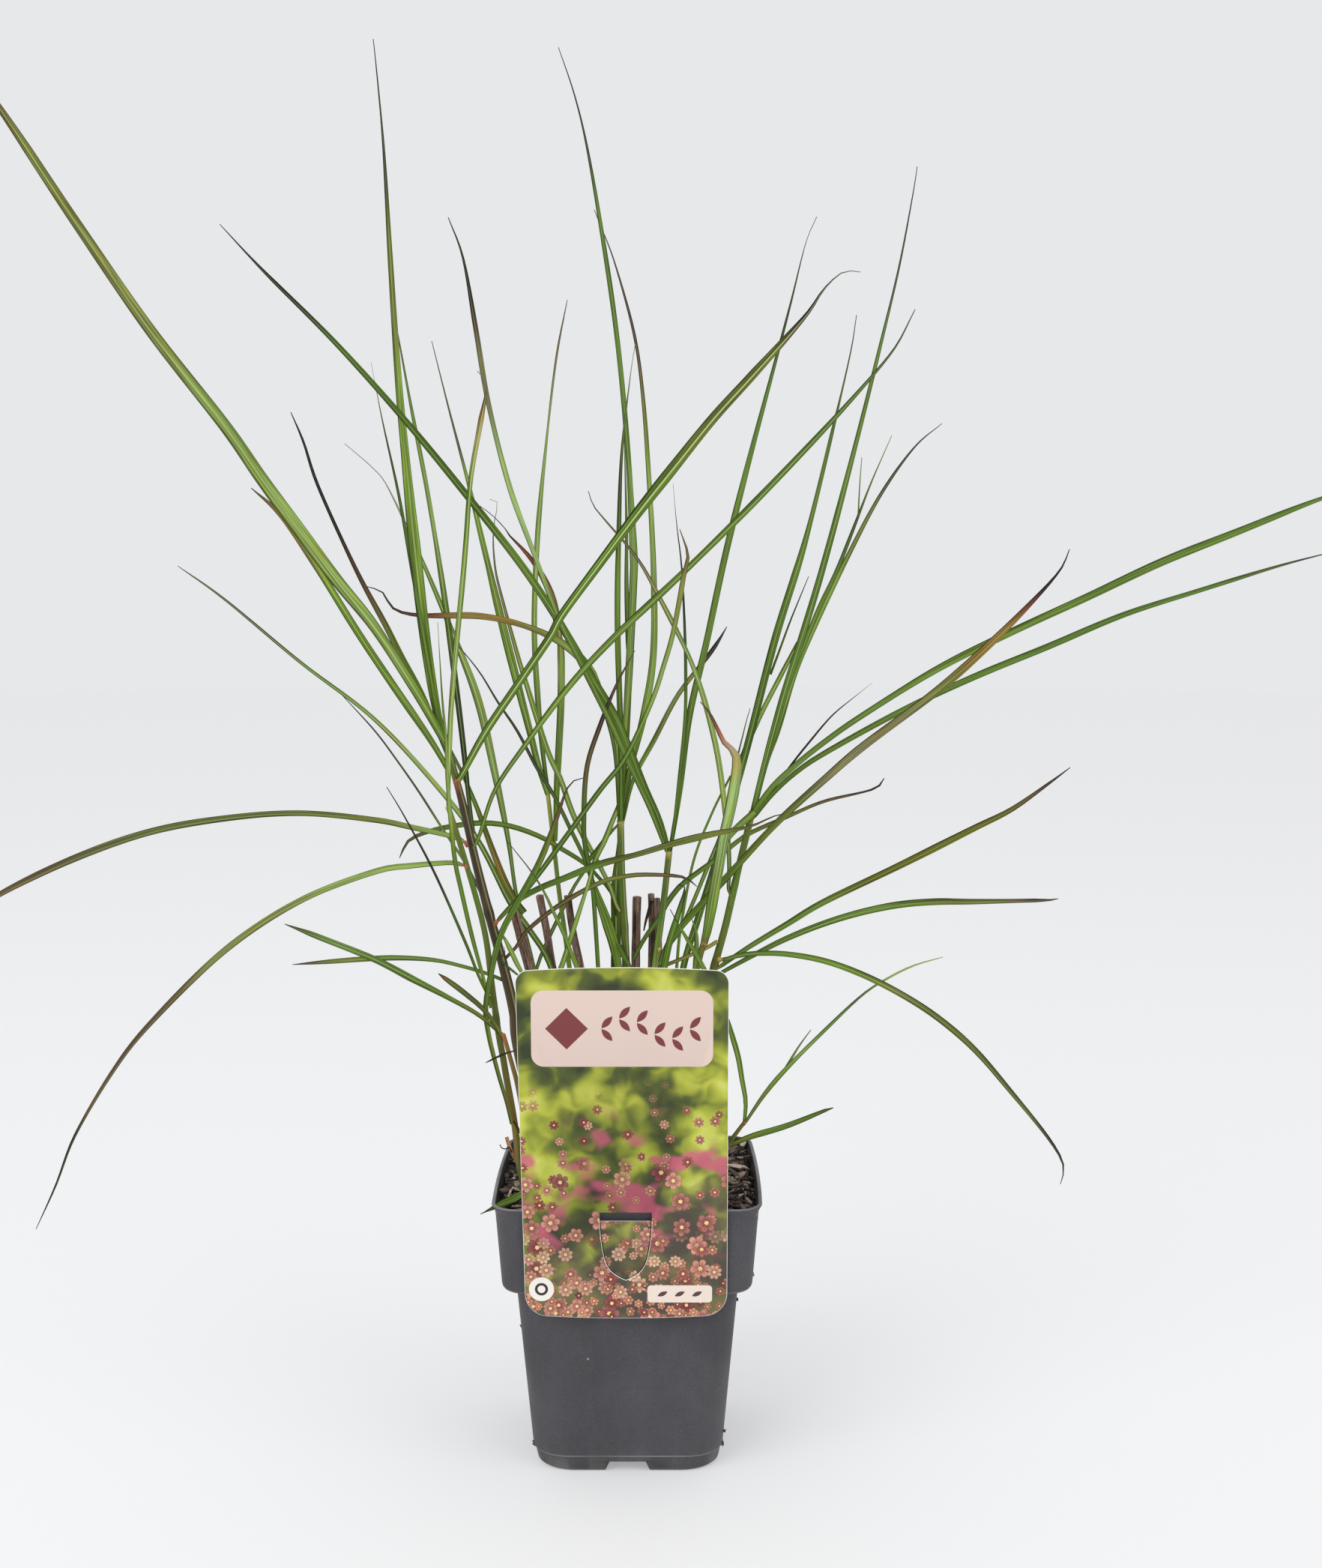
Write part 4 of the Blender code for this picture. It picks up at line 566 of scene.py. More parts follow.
# How a blade narrows and takes its collar's colour near such a foot.
FOOT_WIDTH_SHARE = 0.5
FOOT_REACH = 2.6 * MM
FOOT_RINGS = (0.2, 0.4, 0.7)

# Stems, as in the solids: course, depth, radius at foot and top, shares where the joints are, how clear the
# pale line of the sheath's edge is, which is partly a painted highlight, and tints.
STEMS = {
    "stem_1": dict(
        course=[(733, 1589), (692, 1400), (686, 1350), (672, 1290), (655, 1228), (635, 1150), (618, 1075),
            (606, 1030), (596, 992)],
        depth=(-6, -14), radius=(2.8, 1.4), joints=(0.2, 0.62, 0.86), line=0.8,
        tint=[(0, "olive"), (0.3, "brown"), (0.5, "umber"), (0.9, "umber"), (0.915, "red"),
            (0.925, "olive"), (0.98, "olive"), (1, "collar")]),
    "stem_2": dict(
        course=[(699, 1586), (692, 1548), (688, 1510), (682, 1472), (676, 1440), (671, 1410), (665, 1378),
            (657, 1320), (648, 1250), (633, 1190), (612, 1120), (598, 1076)],
        depth=(-16, -22), radius=(1.5, 1.1), joints=(0.45,),
        tint=[(0, "olive"), (0.2, "bronze"), (0.36, "olive"), (0.6, "olive"), (0.8, "mid"), (0.95, "olive"),
            (1, "collar")]),
    "stem_3": dict(
        course=[(793, 1572), (770, 1370), (755, 1255), (746, 1190), (739, 1128), (731, 1060)],
        depth=(12, 14), radius=(1.2, 0.9), joints=(0.87,),
        tint=[(0, "mid"), (0.9, "bright"), (1, "collar")]),
    "stem_4": dict(
        course=[(847, 1583), (840, 1400), (834, 1250), (831, 1200), (829, 1150), (828, 1094)],
        depth=(0, 0), radius=(2.0, 1.5), joints=(0.7,), line=0.9,
        tint=[(0, "olive"), (0.6, "olive"), (0.78, "mid"), (0.97, "mid"), (1, "collar")]),
    "stem_5": dict(
        course=[(846, 1593), (862, 1400), (874, 1290), (882, 1230), (886, 1200), (893, 1136)],
        depth=(-11, -10), radius=(1.7, 1.3), joints=(0.62,), line=0.5,
        tint=[(0, "mid"), (0.6, "light"), (0.74, "bright"), (0.84, "deep"), (0.98, "olive"),
            (1, "collar")]),
    "stem_6": dict(
        course=[(889, 1598), (925, 1400), (952, 1293), (968, 1235), (985, 1160), (1004, 1082)],
        depth=(-16, -16), radius=(1.9, 1.4), joints=(0.6, 0.8),
        tint=[(0, "olive"), (0.6, "olive"), (0.8, "mid"), (0.97, "olive"), (1, "collar")]),
    "stem_7": dict(
        course=[(880, 1608), (908, 1400), (930, 1292), (940, 1254)],
        depth=(-28, -24), radius=(1.5, 1.3), joints=(0.5,),
        tint=[(0, "mid"), (0.85, "olive"), (0.96, "olive"), (1, "bronze")]),
    "stem_8": dict(
        course=[(880, 1559), (893, 1400), (903, 1290), (908, 1240), (925, 1150), (950, 1085), (975, 1035)],
        depth=(26, 42), radius=(0.9, 0.5), joints=(),
        tint=[(0, "mid"), (0.8, "bright"), (1, "mid")]),
    "side_shoot_left": dict(
        course=[(707, 1595), (699, 1500), (691, 1450), (681, 1412), (672, 1381)],
        depth=(-24, -26), radius=(1.2, 0.9), joints=(0.5,),
        tint=[(0, "olive"), (0.5, "brown"), (0.9, "bronze"), (1, "red")]),
    "side_shoot_right": dict(
        course=[(930, 1600), (955, 1560), (972, 1527), (995, 1495)],
        depth=(-18, -14), radius=(1.2, 0.8), joints=(0.7,),
        tint=[(0, "olive"), (0.7, "olive"), (1, "bronze")]),
}

# Old canes, as in the solids.
CANES = {
    "old_cane_1": dict(
        course=[(768, 1583), (735, 1400), (708, 1297), (695, 1250), (685, 1213)],
        depth=(0, 0), radius=(2.7, 2.0)),
    "old_cane_2": dict(
        course=[(785, 1562), (755, 1400), (737, 1290), (728, 1235), (720, 1195)],
        depth=(22, 16), radius=(1.7, 1.6)),
    "old_cane_3": dict(
        course=[(825, 1561), (795, 1400), (775, 1292), (765, 1245), (757, 1195)],
        depth=(25, 27), radius=(1.7, 1.6)),
    "old_cane_4": dict(
        course=[(845, 1553), (847, 1400), (848, 1291), (849, 1240), (850, 1197)],
        depth=(32, 28), radius=(1.8, 1.9)),
}

# Cut canes further back that only the looks have.
BACK_CANES = {
    "back_cane_left": dict(
        course=[(868, 1560), (869, 1400), (869, 1290), (870, 1240), (869, 1193)],
        depth=(33, 30), radius=(1.4, 1.5)),
    "back_cane_right": dict(
        course=[(884, 1560), (883, 1400), (880, 1290), (878, 1240), (877, 1199)],
        depth=(29, 28), radius=(1.3, 1.35)),
}

# Shares of a collar's full radius, from its foot to its top.
COLLAR_BULGE = (0.55, 0.85, 1.0, 1.0, 0.8, 0.35)

# Collars where a leaf leaves its sheath: pixel, depth (mm), radius and height (mm), tint, lean (degrees).
COLLARS = (
    (598, 994, -15, 1.3, 2.2, "collar", -25), (609, 1042, -15.6, 0.7, 2.2, "red", 15),
    (598, 1078, -22, 1.1, 2.2, "collar", -10), (622, 1126, -14.6, 0.8, 3.0, "red", -18),
    (622, 1156, -22, 0.7, 2.4, "red", -20), (662, 1231, -13, 0.95, 2.6, "red", 20),
    (731, 1062, 14, 0.9, 2.0, "collar", -15), (739, 1128, 12, 1.0, 1.6, "collar", -5),
    (828, 1098, 0, 1.55, 2.0, "collar", 0), (893, 1139, -10, 1.4, 2.2, "collar", 10),
    (939, 1260, -24.6, 1.4, 2.2, "bronze", 10), (672, 1381, -26, 0.85, 1.8, "red", -20),
    (880, 1267, -13, 0.7, 2.1, "collar", 8), (960, 1280, -20.6, 1.15, 2.2, "bud", 10),
    (993, 1499, -14.5, 0.8, 1.8, "bronze", 20),
)

# Young blades that belong to the solid of the stem in their name.
YOUNG = {
    "stem_1_leaf_1": dict(
        course=[(598, 1010), (565, 930), (535, 875), (515, 835), (475, 760), (425, 650), (405, 590),
            (388, 550)],
        depth=(-13.5, 0), roll=(5, 25), rib=0.1,
        width=[(0, 1.6), (0.3, 2.6), (0.42, 2.4), (0.55, 1.8), (0.65, 1.5), (0.82, 1.4), (0.93, 1),
            (1, 0.35)],
        tint=[(0, "bright"), (0.2, "mid"), (0.36, "olive"), (0.45, "brown"), (0.6, "purple"),
            (0.66, "black"), (1, "black")]),
    "stem_1_leaf_2": dict(
        course=[(642, 1192), (620, 1150), (590, 1105), (560, 1058), (530, 1015), (500, 975), (457, 928)],
        depth=(-10, 40), roll=(5, 25), rib=0.3,
        width=[(0, 1.2), (0.35, 1), (0.6, 0.8), (0.8, 0.7), (1, 0.3)],
        tint=[(0, "olive"), (0.2, "bright"), (0.32, "mid"), (0.37, "dark"), (0.6, "dark"), (0.8, "black"),
            (1, "black")]),
    "stem_1_leaf_3": dict(
        course=[(672, 1308), (650, 1299), (620, 1290), (580, 1281), (530, 1278), (480, 1280), (390, 1287)],
        depth=(-9, 25), roll=(20, 50), rib=0.3,
        width=[(0, 1.5), (0.25, 1.7), (0.4, 2.2), (0.5, 2.6), (0.7, 2.7), (0.8, 2.5), (0.88, 1.9),
            (0.95, 1), (1, 0.3)],
        tint=[(0, "mid"), (0.5, "mid"), (0.75, "olive"), (0.85, "bog"), (0.91, "purple"), (1, "black")]),
    "stem_1_leaf_4": dict(
        course=[(671, 1282), (690, 1262), (705, 1240), (750, 1205), (800, 1178), (830, 1170), (860, 1167),
            (910, 1170), (930, 1183)],
        depth=(-9, -40), roll=(10, 40), rib=0.2,
        width=[(0, 1.3), (0.25, 2), (0.55, 2.2), (0.75, 2), (0.88, 1.7), (0.95, 1.1), (1, 0.3)],
        tint=[(0, "brown"), (0.3, "brown"), (0.6, "olive"), (0.85, "brown"), (1, "black")]),
    "stem_2_leaf_1": dict(
        course=[(660, 1345), (640, 1305), (620, 1255), (580, 1165), (540, 1090), (516, 1050)],
        depth=(-18, -60), roll=(5, 20), rib=0.2,
        width=[(0, 1.2), (0.3, 1.3), (0.45, 1.1), (0.7, 0.9), (0.85, 0.6), (1, 0.3)],
        tint=[(0, "bright"), (0.15, "mid"), (0.22, "pine"), (0.42, "pine"), (0.48, "dark"), (0.55, "black"),
            (1, "black")]),
    "stem_4_leaf_1": dict(
        course=[(826, 1296), (819, 1260), (808, 1225), (797, 1195), (787, 1166), (780, 1145), (762, 1108),
            (740, 1063), (715, 1022), (690, 975), (665, 938), (640, 897), (612, 862)],
        depth=(-3, 0), roll=(5, 20), rib=0.2,
        width=[(0, 3.2), (0.06, 4.2), (0.13, 4.6), (0.2, 3.4), (0.27, 1.9), (0.6, 1.6), (1, 0.35)],
        tint=[(0, "bright"), (0.2, "bright"), (0.4, "deep"), (0.6, "dark"), (1, "black")]),
    "stem_6_leaf_1": dict(
        course=[(1002, 1094), (1030, 1055), (1060, 1015), (1080, 990), (1110, 955), (1140, 930),
            (1164, 911)],
        depth=(-15, 40), width=0.9, roll=(5, 20), rib=0,
        tint=[(0, "olive"), (0.2, "olive"), (0.28, "purple"), (0.34, "black"), (0.5, "purple"),
            (0.7, "black"), (1, "black")]),
    "side_shoot_left_leaf_1": dict(
        course=[(673, 1383), (640, 1355), (600, 1332), (550, 1306), (500, 1280), (430, 1252), (380, 1233)],
        depth=(-26, -70), roll=(10, 40), rib=0.3,
        width=[(0, 1.6), (0.25, 2), (0.45, 2.9), (0.7, 2.6), (0.88, 2.5), (0.95, 1.3), (1, 0.3)],
        tint=[(0, "olive"), (0.3, "mid"), (0.8, "grey"), (1, "dark")]),
    "side_shoot_left_leaf_2": dict(
        course=[(675, 1390), (650, 1352), (620, 1325), (585, 1299)],
        depth=(-26, -36), roll=(10, 30), rib=0.2,
        width=[(0, 1.5), (0.5, 2.1), (0.8, 2.4), (0.92, 1.8), (1, 0.4)],
        tint=[(0, "olive"), (0.15, "olive"), (0.22, "bog"), (0.7, "bog"), (0.78, "olive"), (0.88, "olive"),
            (0.93, "rust"), (1, "black")]),
    "side_shoot_right_leaf_1": dict(
        course=[(993, 1500), (1020, 1460), (1050, 1425), (1100, 1375), (1150, 1328), (1185, 1305),
            (1220, 1288), (1258, 1277)],
        depth=(-14, -10), roll=(5, 30), rib=0.5,
        width=[(0, 1.2), (0.2, 2.1), (0.35, 1.7), (0.5, 1.5), (0.65, 1), (0.85, 0.9), (1, 0.3)],
        tint=[(0, "olive"), (0.2, "bright"), (0.38, "light"), (0.46, "mid"), (0.58, "deep"), (0.63, "dark"),
            (0.7, "deep"), (0.77, "light"), (1, "light")]),
    "side_shoot_right_leaf_2": dict(
        course=[(993, 1500), (995, 1470), (990, 1440), (985, 1410), (975, 1375), (972, 1360)],
        depth=(-14, -20), roll=(5, 10), rib=0.5,
        width=[(0, 1.4), (0.3, 2), (0.6, 2.3), (0.8, 2.4), (0.93, 1.8), (1, 0.8)],
        tint=[(0, "mid"), (0.3, "bright"), (1, "mid")]),
    "side_shoot_right_leaf_3": dict(
        course=[(970, 1530), (1000, 1517), (1050, 1502), (1100, 1482), (1112, 1478)],
        depth=(-15, -25), roll=(10, 40), rib=0.3,
        width=[(0, 1.8), (0.3, 2.7), (0.6, 2.4), (0.8, 2), (0.93, 1.5), (1, 0.4)],
        tint=[(0, "olive"), (0.3, "bright"), (0.8, "mid"), (1, "dark")]),
}

# The rings of a cane's cut end: share of its radius, height above the cut (mm), and colour.
CUT_END = ((0.86, 0.25, "weathered"), (0.55, -0.15, "bark"), (0.3, -0.7, "furrow"))

# Small leaves and hairs that only the looks have.
SMALL_LEAVES = {
    "small_leaf_left_back": dict(
        course=[(597, 1005), (583, 950), (562, 830), (548, 750), (532, 660), (510, 560), (495, 483)],
        depth=(-13, 10), width=1.6, rib=0.2,
        tint=[(0, "mid"), (0.5, "deep"), (0.8, "dark"), (1, "grey")]),
    "small_leaf_middle": dict(
        course=[(829, 1096), (836, 990), (840, 900), (838, 850), (836, 780), (836, 700), (834, 620),
            (832, 560)],
        depth=(3, 12), width=2.2, rib=0.3,
        tint=[(0, "deep"), (0.5, "mid"), (0.8, "mid"), (1, "deep")]),
    "small_leaf_dark": dict(
        course=[(895, 1137), (905, 1050), (914, 960), (915, 900), (914, 850), (912, 800), (909, 750),
            (903, 700), (898, 645)],
        depth=(-9.5, 15), width=1.4, rib=0.1,
        tint=[(0, "deep"), (0.4, "deep"), (0.6, "dark"), (0.8, "black"), (1, "black")]),
    "small_leaf_right": dict(
        course=[(1003, 1090), (1040, 950), (1085, 830), (1115, 765), (1135, 715), (1160, 650), (1175, 615),
            (1190, 581)],
        depth=(-13, 40), roll=(3, 20), rib=0.3,
        width=[(0, 1.5), (0.3, 1.9), (0.55, 2), (0.7, 1.6), (0.82, 0.9), (0.92, 0.5), (1, 0.3)],
        tint=[(0, "mid"), (0.5, "mid"), (0.75, "dark"), (1, "grey")]),
    "small_leaf_rim": dict(
        course=[(706, 1586), (690, 1597), (670, 1606), (641, 1620)],
        depth=(-40, -52), width=3.0, roll=(20, 40), rib=0.3,
        tint=[(0, "bright"), (0.6, "mid"), (0.85, "dark"), (1, "black")]),
    "small_leaf_hair": dict(
        course=[(772, 1296), (761, 1269), (753, 1247), (740, 1220), (726, 1190), (709, 1163), (691, 1140),
            (678, 1124)],
        depth=(-42, -50), rib=0.4,
        width=[(0, 1.9), (0.35, 1.6), (0.6, 0.9), (0.8, 0.5), (1, 0.3)],
        tint=[(0, "bright"), (0.5, "mid"), (0.8, "dark"), (1, "black")]),
    "small_leaf_bright": dict(
        course=[(747, 1296), (754, 1276), (762, 1250), (775, 1210), (784, 1182), (790, 1160)],
        depth=(-40, -30), rib=0.7,
        width=[(0, 2.2), (0.5, 2.0), (1, 1.2)],
        tint=[(0, "bright"), (1, "bright")]),
    "small_leaf_olive": dict(
        course=[(601, 1000), (615, 1028), (627, 1055), (640, 1087), (650, 1115), (664, 1152), (676, 1180),
            (690, 1205), (700, 1218)],
        depth=(4, 9), rib=0.2,
        width=[(0, 1.2), (0.3, 1.9), (0.7, 2.8), (1, 2.8)],
        tint=[(0, "deep"), (0.3, "mid"), (0.5, "olive"), (0.7, "bronze"), (1, "mid")]),
    "small_leaf_rising": dict(
        course=[(788, 1164), (796, 1143), (807, 1121), (817, 1096), (828, 1069), (832, 1057)],
        depth=(-9, 3), rib=0.8,
        width=[(0, 2.0), (0.4, 2.4), (1, 1.8)],
        tint=[(0, "bright"), (1, "bright")]),
    "small_leaf_arm": dict(
        course=[(785, 1149), (798, 1132), (811, 1115), (826, 1099)],
        depth=(-7, 0), rib=0.4,
        width=[(0, 1.9), (0.5, 1.8), (1, 0.9)],
        tint=[(0, "mid"), (1, "bright")]),
    "sheath_strip": dict(
        course=[(822, 1298), (822, 1260), (822, 1230), (821.5, 1200), (822, 1175), (825, 1140),
            (827, 1108)],
        depth=(2.2, 1.4), roll=(3, 6), rib=0.9,
        width=[(0, 4.5), (0.35, 4.2), (0.62, 4.1), (0.82, 2.4), (1, 1.0)],
        tint=[(0, "mid"), (0.5, "bright"), (1, "mid")]),
    "sheath_strip_middle": dict(
        course=[(873, 1298), (876, 1268), (880, 1240), (885, 1212)],
        depth=(-10, -9.4), roll=(3, 6), rib=0.4,
        width=[(0, 3.4), (0.6, 2.9), (1, 0.9)],
        tint=[(0, "light"), (0.5, "light"), (1, "mid")]),
    "small_leaf_crossing": dict(
        course=[(824, 1258), (832, 1274), (842, 1292), (846, 1300)],
        depth=(-4, -6), width=2.6, roll=(3, 6), rib=0.2,
        tint=[(0, "deep"), (1, "deep")]),
    "dry_strip": dict(
        course=[(869, 1202), (866, 1214), (862, 1228), (859, 1242)],
        depth=(27, 26), roll=(3, 6), rib=0,
        width=[(0, 1.5), (0.6, 1.2), (1, 0.6)],
        tint=[(0, "furrow"), (1, "umber")]),
    "small_leaf_root": dict(
        course=[(960, 1142), (966, 1126), (975, 1113), (987, 1101), (998, 1091), (1007, 1083)],
        depth=(-18.6, -18.6), roll=(5, 8), rib=0.5,
        width=[(0, 2.2), (0.5, 2.7), (0.8, 2.8), (1, 2.6)],
        tint=[(0, "mid"), (0.6, "bright"), (1, "bright")]),
    "small_leaf_behind": dict(
        course=[(714, 1299), (722, 1275), (733, 1250), (745, 1225), (765, 1185), (780, 1162)],
        depth=(34, 30), rib=0.9,
        width=[(0, 1.6), (0.5, 1.8), (1, 1.4)],
        tint=[(0, "deep"), (1, "mid")]),
    "small_leaf_low": dict(
        course=[(699, 1302), (690, 1286), (680, 1265), (672, 1250), (665, 1240)],
        depth=(-40, -18), width=2.0, rib=0.7,
        tint=[(0, "bright"), (1, "light")]),
    "small_leaf_split": dict(
        course=[(694, 1302), (690, 1300), (669, 1281), (674, 1270), (672, 1262)],
        depth=(-18, -16), width=1.0, rib=0.1,
        tint=[(0, "deep"), (1, "dark")]),
    "small_leaf_notched": dict(
        course=[(885, 1296), (893, 1258), (903, 1226), (912, 1196), (914, 1184), (904, 1180)],
        depth=(-34, -30), rib=0.1,
        width=[(0, 3.0), (0.5, 2.8), (0.8, 1.8), (0.9, 0.6), (1, 0.3)],
        tint=[(0, "mid"), (0.6, "deep"), (0.85, "dark"), (1, "black")]),
    "small_leaf_down": dict(
        course=[(941, 1296), (928, 1272), (915, 1250), (906, 1235), (900, 1224), (894, 1213)],
        depth=(-38, -42), rib=0.2,
        width=[(0, 2.0), (0.4, 1.9), (0.7, 1.0), (0.78, 0.5), (1, 0.3)],
        tint=[(0, "bright"), (0.7, "mid"), (0.85, "black"), (1, "black")]),
    "small_leaf_bent": dict(
        course=[(926, 1296), (929, 1270), (929, 1246), (925, 1231), (921, 1222)],
        depth=(-34, -30), width=2.0, rib=0.3,
        tint=[(0, "mid"), (1, "deep")]),
    "dry_stub": dict(
        course=[(880, 1291), (905, 1281), (940, 1266), (957, 1256)],
        depth=(-10, -20), roll=(10, 20), rib=0.2,
        width=[(0, 1.6), (1, 1.7)],
        tint=[(0, "olive"), (1, "collar")]),
    "needle_right": dict(
        course=[(985, 1006), (991, 982), (996, 962), (1001, 945)],
        depth=(-30, -28), rib=0,
        width=[(0, 0.7), (0.6, 0.5), (1, 0.3)],
        tint=[(0, "dark"), (1, "grey")]),
    "needle_upper": dict(
        course=[(1145, 692), (1147, 650), (1150, 610)],
        depth=(26, 30), rib=0,
        width=[(0, 0.7), (0.6, 0.5), (1, 0.3)],
        tint=[(0, "deep"), (1, "grey")]),
    "needle_middle": dict(
        course=[(1028, 900), (1040, 868), (1054, 830), (1067, 798), (1079, 769)],
        depth=(26, 28), rib=0,
        width=[(0, 1.1), (0.4, 0.9), (0.7, 0.6), (1, 0.3)],
        tint=[(0, "mid"), (0.6, "dark"), (1, "black")]),
    "needle_fork": dict(
        course=[(1043, 1434), (1052, 1419), (1066, 1396), (1082, 1374)],
        depth=(-13, -12), rib=0,
        width=[(0, 1.2), (0.4, 1), (0.8, 0.5), (1, 0.3)],
        tint=[(0, "bright"), (0.6, "mid"), (1, "dark")]),
    "needle_label": dict(
        course=[(690, 1401), (676, 1405), (662, 1411), (648, 1418)],
        depth=(-30, -32), rib=0,
        width=[(0, 0.5), (0.5, 0.9), (0.8, 0.8), (1, 0.3)],
        tint=[(0, "umber"), (0.5, "purple"), (1, "dark")]),
    "dry_sliver": dict(
        course=[(694, 1512), (690, 1503), (685, 1496)],
        depth=(-19, -19), rib=0,
        width=[(0, 1.3), (1, 0.6)],
        tint=[(0, "brown"), (1, "purple")]),
    "dry_stub_left": dict(
        course=[(688, 1552), (684, 1540), (679, 1527), (676, 1517)],
        depth=(20, 20), rib=0.3,
        width=[(0, 1.2), (0.3, 1.7), (1, 1.6)],
        tint=[(0, "rust"), (0.5, "straw"), (1, "straw")]),
    "dry_hair_left": dict(
        course=[(683, 1538), (680, 1531), (674, 1533), (669, 1531), (667, 1527)],
        depth=(18, 16), rib=0,
        width=[(0, 0.6), (1, 0.4)],
        tint=[(0, "black"), (1, "black")]),
    "dry_hair_right": dict(
        course=[(684, 1533), (688, 1545), (692, 1556), (694, 1562)],
        depth=(16, 10), rib=0,
        width=[(0, 0.7), (1, 0.5)],
        tint=[(0, "rust"), (1, "rust")]),
}


def clamp(value):
    """The value, kept between nought and one."""
    return min(max(value, 0.0), 1.0)


def blend(first, last, share):
    """A tuple part of the way from the first one to the last one."""
    return tuple(a + (b - a) * share for a, b in zip(first, last))


def at(stops, share):
    """Value of a number, or of a list of (share, value) stops, at a share of the length."""
    if not isinstance(stops, list):
        return stops
    for (s0, v0), (s1, v1) in zip(stops, stops[1:]):
        if share <= s1:
            part = clamp((share - s0) / max(s1 - s0, 1e-6))
            return blend(v0, v1, part) if isinstance(v0, tuple) else v0 + (v1 - v0) * part
    return stops[-1][1]


def place(u, v, depth):
    """The point of the front view's pixel (u, v) that lies at this depth behind the pot's middle."""
    side = (u - VIEW_CENTRE_U) / VIEW_FOCAL
    rise = (VIEW_CENTRE_V - v) / VIEW_FOCAL
    ray = Vector((side,
                  math.cos(VIEW_PITCH) + rise * math.sin(VIEW_PITCH),
                  rise * math.cos(VIEW_PITCH) - math.sin(VIEW_PITCH)))
    return Vector((VIEW_SIDE, -VIEW_DISTANCE, VIEW_HEIGHT)) + ray * ((VIEW_DISTANCE + depth) / ray.y)


def course_points(piece):
    """The points of a piece's course, with its depth passing from the first to the last."""
    course = piece["course"]
    first, last = piece["depth"]
    run = [0.0]
    for (u0, v0), (u1, v1) in zip(course, course[1:]):
        run.append(run[-1] + math.hypot(u1 - u0, v1 - v0))
    return [place(u, v, (first + (last - first) * (r / run[-1]) ** DEPTH_POWER) * MM)
            for (u, v), r in zip(course, run)]


def smooth_path(points, steps):
    """A smooth curve through the points, cut into equal steps."""
    ends = [points[0] * 2 - points[1]] + points + [points[-1] * 2 - points[-2]]
    fine = []
    for a, b, c, d in zip(ends, ends[1:], ends[2:], ends[3:]):
        for k in range(CURVE_STEPS):
            t = k / CURVE_STEPS
            fine.append(((b * 2) + (c - a) * t + (a * 2 - b * 5 + c * 4 - d) * t * t
                         + (b * 3 - a - c * 3 + d) * t ** 3) / 2)
    fine.append(points[-1])
    run = [0.0]
    for p, q in zip(fine, fine[1:]):
        run.append(run[-1] + (q - p).length)
    path, k = [], 0
    for step in range(steps + 1):
        goal = run[-1] * step / steps
        while k < len(fine) - 2 and run[k + 1] < goal:
            k += 1
        share = (goal - run[k]) / max(run[k + 1] - run[k], 1e-9)
        path.append(fine[k].lerp(fine[k + 1], min(share, 1)))
    return path


def stem_path(piece, step, fewest=1):
    """The path of a stem or cane, from just above the soil."""
    points = course_points(piece)
    points[0].z = SOIL_TOP + GAP
    return smooth_path(points, max(round(path_length(points) / step), fewest))


def path_length(points):
    return sum((q - p).length for p, q in zip(points, points[1:]))


def tangents(path):
    ends = [path[0]] + path + [path[-1]]
    return [(c - a).normalized() for a, c in zip(ends, ends[2:])]


class Surface:
    """Points, faces, tints and lengthwise coordinates of one mesh while it is built."""

    def __init__(self):
        self.points, self.faces, self.tints, self.course = [], [], [], []

    def point(self, where, tint=(0.5, 0.5, 0.5), rib=0.0, course=(0.5, 0.0)):
        self.points.append(where)
        self.tints.append((*tint, rib))
        self.course.append(course)
        return len(self.points) - 1

    def ring(self, spots, tint=(0.5, 0.5, 0.5)):
        return [self.point(spot, tint) for spot in spots]

    def bridge(self, ring, after):
        count = len(ring)
        for k in range(count):
            self.faces.append((ring[k], ring[(k + 1) % count], after[(k + 1) % count], after[k]))

    def cap(self, ring, back=False):
        self.faces.append(tuple(reversed(ring)) if back else tuple(ring))

    def loft(self, rings, closed_top=True):
        """Joins rings in turn, closes the first one and, where asked, the last one."""
        for ring, after in zip(rings, rings[1:]):
            self.bridge(ring, after)
        self.cap(rings[0], back=True)
        if closed_top:
            self.cap(rings[-1])

    def to_object(self, name, material, smooth_degrees=50):
        mesh = bpy.data.meshes.new(name)
        mesh.from_pydata([tuple(p) for p in self.points], [], self.faces)
        colours = mesh.color_attributes.new("tint", "FLOAT_COLOR", "POINT")
        colours.data.foreach_set("color", [c for tint in self.tints for c in tint])
        layer = mesh.uv_layers.new(name="course")
        for loop in mesh.loops:
            layer.data[loop.index].uv = self.course[loop.vertex_index]
        builder = bmesh.new()
        builder.from_mesh(mesh)
        bmesh.ops.recalc_face_normals(builder, faces=builder.faces)
        builder.to_mesh(mesh)
        builder.free()
        mesh.shade_smooth()
        mesh.set_sharp_from_angle(angle=math.radians(smooth_degrees))
        mesh.materials.append(material)
        made = bpy.data.objects.new(name, mesh)
        bpy.context.scene.collection.objects.link(made)
        return made


def lofted(name, outlines, material, smooth_degrees=50, tint=(0.5, 0.5, 0.5)):
    """A closed piece through outlines of points."""
    surface = Surface()
    surface.loft([surface.ring(outline, tint) for outline in outlines])
    return surface.to_object(name, material, smooth_degrees)


def hand_in(piece, solid=None):
    """Says which solid a piece stands for, if any, and that it goes with the body."""
    if solid:
        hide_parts(solid)
    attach(piece, "root")


def blade_profile(share):
    """Width along a blade: narrow at its base, full soon after, then a long point."""
    base = 0.62 + 0.38 * min(share / 0.2, 1)
    point = 1 if share < 0.5 else 1 - ((share - 0.5) / 0.5) ** 1.15
    return base * max(point, 0.1)


